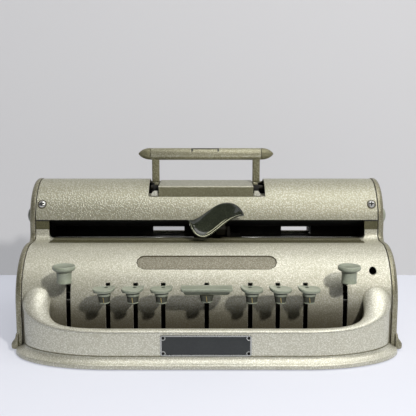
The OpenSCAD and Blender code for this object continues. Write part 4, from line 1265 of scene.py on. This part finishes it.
# Sections of the handle's arms, necks and lugs from the bottom up: height, half width and half depth.
ARM_LEVELS = (
    (154.9, 3.5, 3.1), (155.3, 4.05, 3.7), (157.0, 4.0, 3.65), (165.0, 3.95, 3.6), (184.0, 4.0, 3.7)
)
NECK_LEVELS = ((151.6, 2.4, 3.0), (152.2, 2.7, 3.4), (154.6, 2.7, 3.4), (155.0, 2.3, 3.0))
LUG_LEVELS = ((143.4, 2.6, 2.2), (144.4, 3.3, 3.2), (151.0, 3.3, 3.2), (152.0, 2.4, 2.4))
ARM_X = 55.8


def stacked(middle, levels, corner):
    """Oblong sections with round corners, one above another under the grip."""
    return skin(
        [[(middle + x, GRIP_Y + y, z) for x, y in rounded_bar(a, b, corner, 4)] for z, a, b in levels]
    )


def build_handle_arms():
    """Two flat arms with rounded edges on narrow necks, and the dark lugs that turn on the pivot pins."""
    arms, necks, lugs = [], [], []
    for side in (-1, 1):
        middle = HANDLE_X + side * ARM_X
        arms.append(stacked(middle, ARM_LEVELS, 1.1))
        necks.append(stacked(middle - side * 0.9, NECK_LEVELS, 0.8))
        lugs.append(stacked(middle, LUG_LEVELS, 1.0))
    add_piece(
        "handle_arm_bars", "handle", "handle_paint", arms, ["handle_arms"], SHADED_ARM, sharp_angle=60.0
    )
    add_piece("handle_arm_necks", "handle", "handle_paint", necks, sharp_angle=60.0)
    add_piece("handle_arm_lugs", "handle", "handle_paint", lugs, finish=FINISHES["rubber"], sharp_angle=60.0)


build_grip()
build_grip_ends()
build_handle_arms()


# ---------- Data plate ----------

PLATE_X = -0.6
PLATE_HALF = 42.9
PLATE_LOW = 12.2
PLATE_HIGH = 32.7
PLATE_BACK = -107.95


def build_data_plate():
    """Dark plate with a bright raised border and a pin in each corner."""
    middle = (PLATE_LOW + PLATE_HIGH) / 2
    tall = (PLATE_HIGH - PLATE_LOW) / 2

    def level(out, inset):
        outline = rounded_bar(PLATE_HALF - inset, tall - inset, max(0.6, 2.2 - inset))
        return [(PLATE_X + x, PLATE_BACK - out, middle + z) for x, z in outline]

    face = skin([level(0.0, 0.4), level(0.45, 0.4), level(0.5, 0.6)])
    add_piece("plate_face", "casing", "plate_black", [face], ["data_plate"])
    steps = ((0.0, 0.0), (0.8, 0.0), (0.9, 0.2), (0.9, 1.2), (0.8, 1.4), (0.0, 1.4))
    border = [level(out, inset) for out, inset in steps]
    rings, pins = [], []
    for sx in (-1, 1):
        for sz in (-1, 1):
            centre = (PLATE_X + sx * (PLATE_HALF - 2.6), middle + sz * (tall - 2.7))
            washer = []
            for radius, out in ((2.5, 0.0), (2.4, 0.88), (1.55, 0.88), (1.5, 0.0)):
                washer.append([(x, PLATE_BACK - out, z) for x, z in circle(centre, radius)])
            rings.append(skin(washer, closed=True))
            pins.append((centre[0], PLATE_BACK - 0.2, centre[1]))
    add_piece(
        "plate_border", "casing", "bright_steel", [skin(border, closed=True)] + rings, finish=BARE_BORDER
    )
    mesh = domed_heads("plate_pins", pins, 1.4, 0.75, 0.0, FINISHES["dark_steel"])
    finish_piece(mesh, "plate_pins", "casing", "dark_steel")


build_data_plate()


# ---------- Smaller works with softened edges ----------

for cad_name, piece_name, body, bevel in (
    ("rubber_feet", "foot_pads", "casing", 0.9),
    ("base_plate", "base_sheet", "casing", 0.3),
    ("paper_roller", "roller_sleeve", "roller", 0.6),
    ("feed_knobs", "knob_domes", "roller", 0.0),
    ("release_levers", "release_fingers", "paper_release", 0.5),
    ("left_margin_stop", "left_stop_tab", "left_stop", 0.4),
    ("right_margin_stop", "right_stop_tab", "right_stop", 0.4),
    ("carriage_rails", "polished_rails", "casing", 0.4),
    ("carriage_body", "carriage_frame", "carriage", 0.3),
    ("embossing_head", "embossing_block", "carriage", 0.3),
    ("bell", "gong", "casing", 0.2),
    ("mainspring_barrel", "spring_drum", "casing", 0.3),
):
    dressed_copy(cad_name, piece_name, body, bevel)


# ---------- Floor, backdrop, light and camera ----------


def plain_surface(name, colour, seen_colour, glow):
    """Pale paint for the floor or backdrop, seen from its front only."""
    material, tree, shader = start_finish(name, 0.0, 0.85, specular=0.2)
    shader.inputs["Base Color"].default_value = colour
    shader.inputs["Emission Color"].default_value = seen_colour
    output = tree.nodes["Material Output"]
    rays = tree.nodes.new("ShaderNodeLightPath")
    seen = math_node(tree, "MAXIMUM", rays.outputs["Is Camera Ray"], rays.outputs["Is Glossy Ray"])
    tree.links.new(math_node(tree, "MULTIPLY", seen, glow), shader.inputs["Emission Strength"])
    clear = tree.nodes.new("ShaderNodeBsdfTransparent")
    behind = tree.nodes.new("ShaderNodeNewGeometry").outputs["Backfacing"]
    choose = put(tree, "ShaderNodeMixShader", {0: behind, 1: shader.outputs[0], 2: clear.outputs[0]})
    tree.links.new(choose.outputs[0], output.inputs["Surface"])
    return material


def stage_plane(name, corners, material):
    """A flat sheet of the surroundings, which isn't part of the machine."""
    mesh = bpy.data.meshes.new(name)
    mesh.from_pydata(corners, [], [(0, 1, 2, 3)])
    mesh.materials.append(material)
    plane = bpy.data.objects.new(name, mesh)
    bpy.context.scene.collection.objects.link(plane)


WALL_Y = 0.249
STAGE_HALF = 3.0
WALL_TOP = 2.4
stage_plane(
    "floor",
    [(x * STAGE_HALF, y * STAGE_HALF, 0) for x, y in ((-1, -1), (1, -1), (1, 1), (-1, 1))],
    plain_surface("floor_paint", FLOOR, FLOOR_SEEN, 0.62),
)
stage_plane(
    "backdrop",
    [(x * STAGE_HALF, WALL_Y, z) for x, z in ((-1, 0), (1, 0), (1, WALL_TOP), (-1, WALL_TOP))],
    plain_surface("backdrop_paint", WALL, WALL_SEEN, 0.5),
)


def soft_lamp(name, place, aim, size, power, colour=(1.0, 1.0, 1.0), mirrored=True):
    """A rectangular lamp that shines at a place; one that isn't mirrored gives no reflections."""
    data = bpy.data.lights.new(name, "AREA")
    data.shape = "RECTANGLE"
    data.size, data.size_y = size
    data.energy = power
    data.color = colour
    lamp = bpy.data.objects.new(name, data)
    lamp.location = place
    lamp.visible_glossy = mirrored
    lamp.rotation_euler = (Vector(aim) - Vector(place)).to_track_quat("-Z", "Y").to_euler()
    bpy.context.scene.collection.objects.link(lamp)


KEY_PLACE = (0.62, -1.26, 1.02)
KEY_AIM = (0.0, -0.05, 0.08)
KEY_SIZE = (0.1, 0.1)
KEY_TINT = (1.0, 0.97, 0.92)
soft_lamp("key_lamp", KEY_PLACE, KEY_AIM, KEY_SIZE, 26.0, KEY_TINT, mirrored=False)
soft_lamp("key_glint_lamp", KEY_PLACE, KEY_AIM, KEY_SIZE, 5.0, KEY_TINT)
soft_lamp("ceiling_lamp", (0.45, -0.35, 1.75), (0.0, 0.0, 0.1), (1.9, 1.5), 24.0)

world = bpy.data.worlds.new("studio_air")
world.use_nodes = True
background = world.node_tree.nodes["Background"]
background.inputs["Color"].default_value = (0.86, 0.87, 0.9, 1.0)
background.inputs["Strength"].default_value = 0.025
bpy.context.scene.world = world

CAMERA_PLACE = (0.0013, -0.835, 0.2751)
CAMERA_TILT = 80.5
camera_data = bpy.data.cameras.new("camera")
camera_data.lens = 70.0
camera_data.sensor_width = 36.0
camera = bpy.data.objects.new("camera", camera_data)
camera.location = CAMERA_PLACE
camera.rotation_euler = (math.radians(CAMERA_TILT), 0.0, 0.0)
bpy.context.scene.collection.objects.link(camera)
bpy.context.scene.camera = camera
bpy.context.scene.view_settings.view_transform = "Standard"
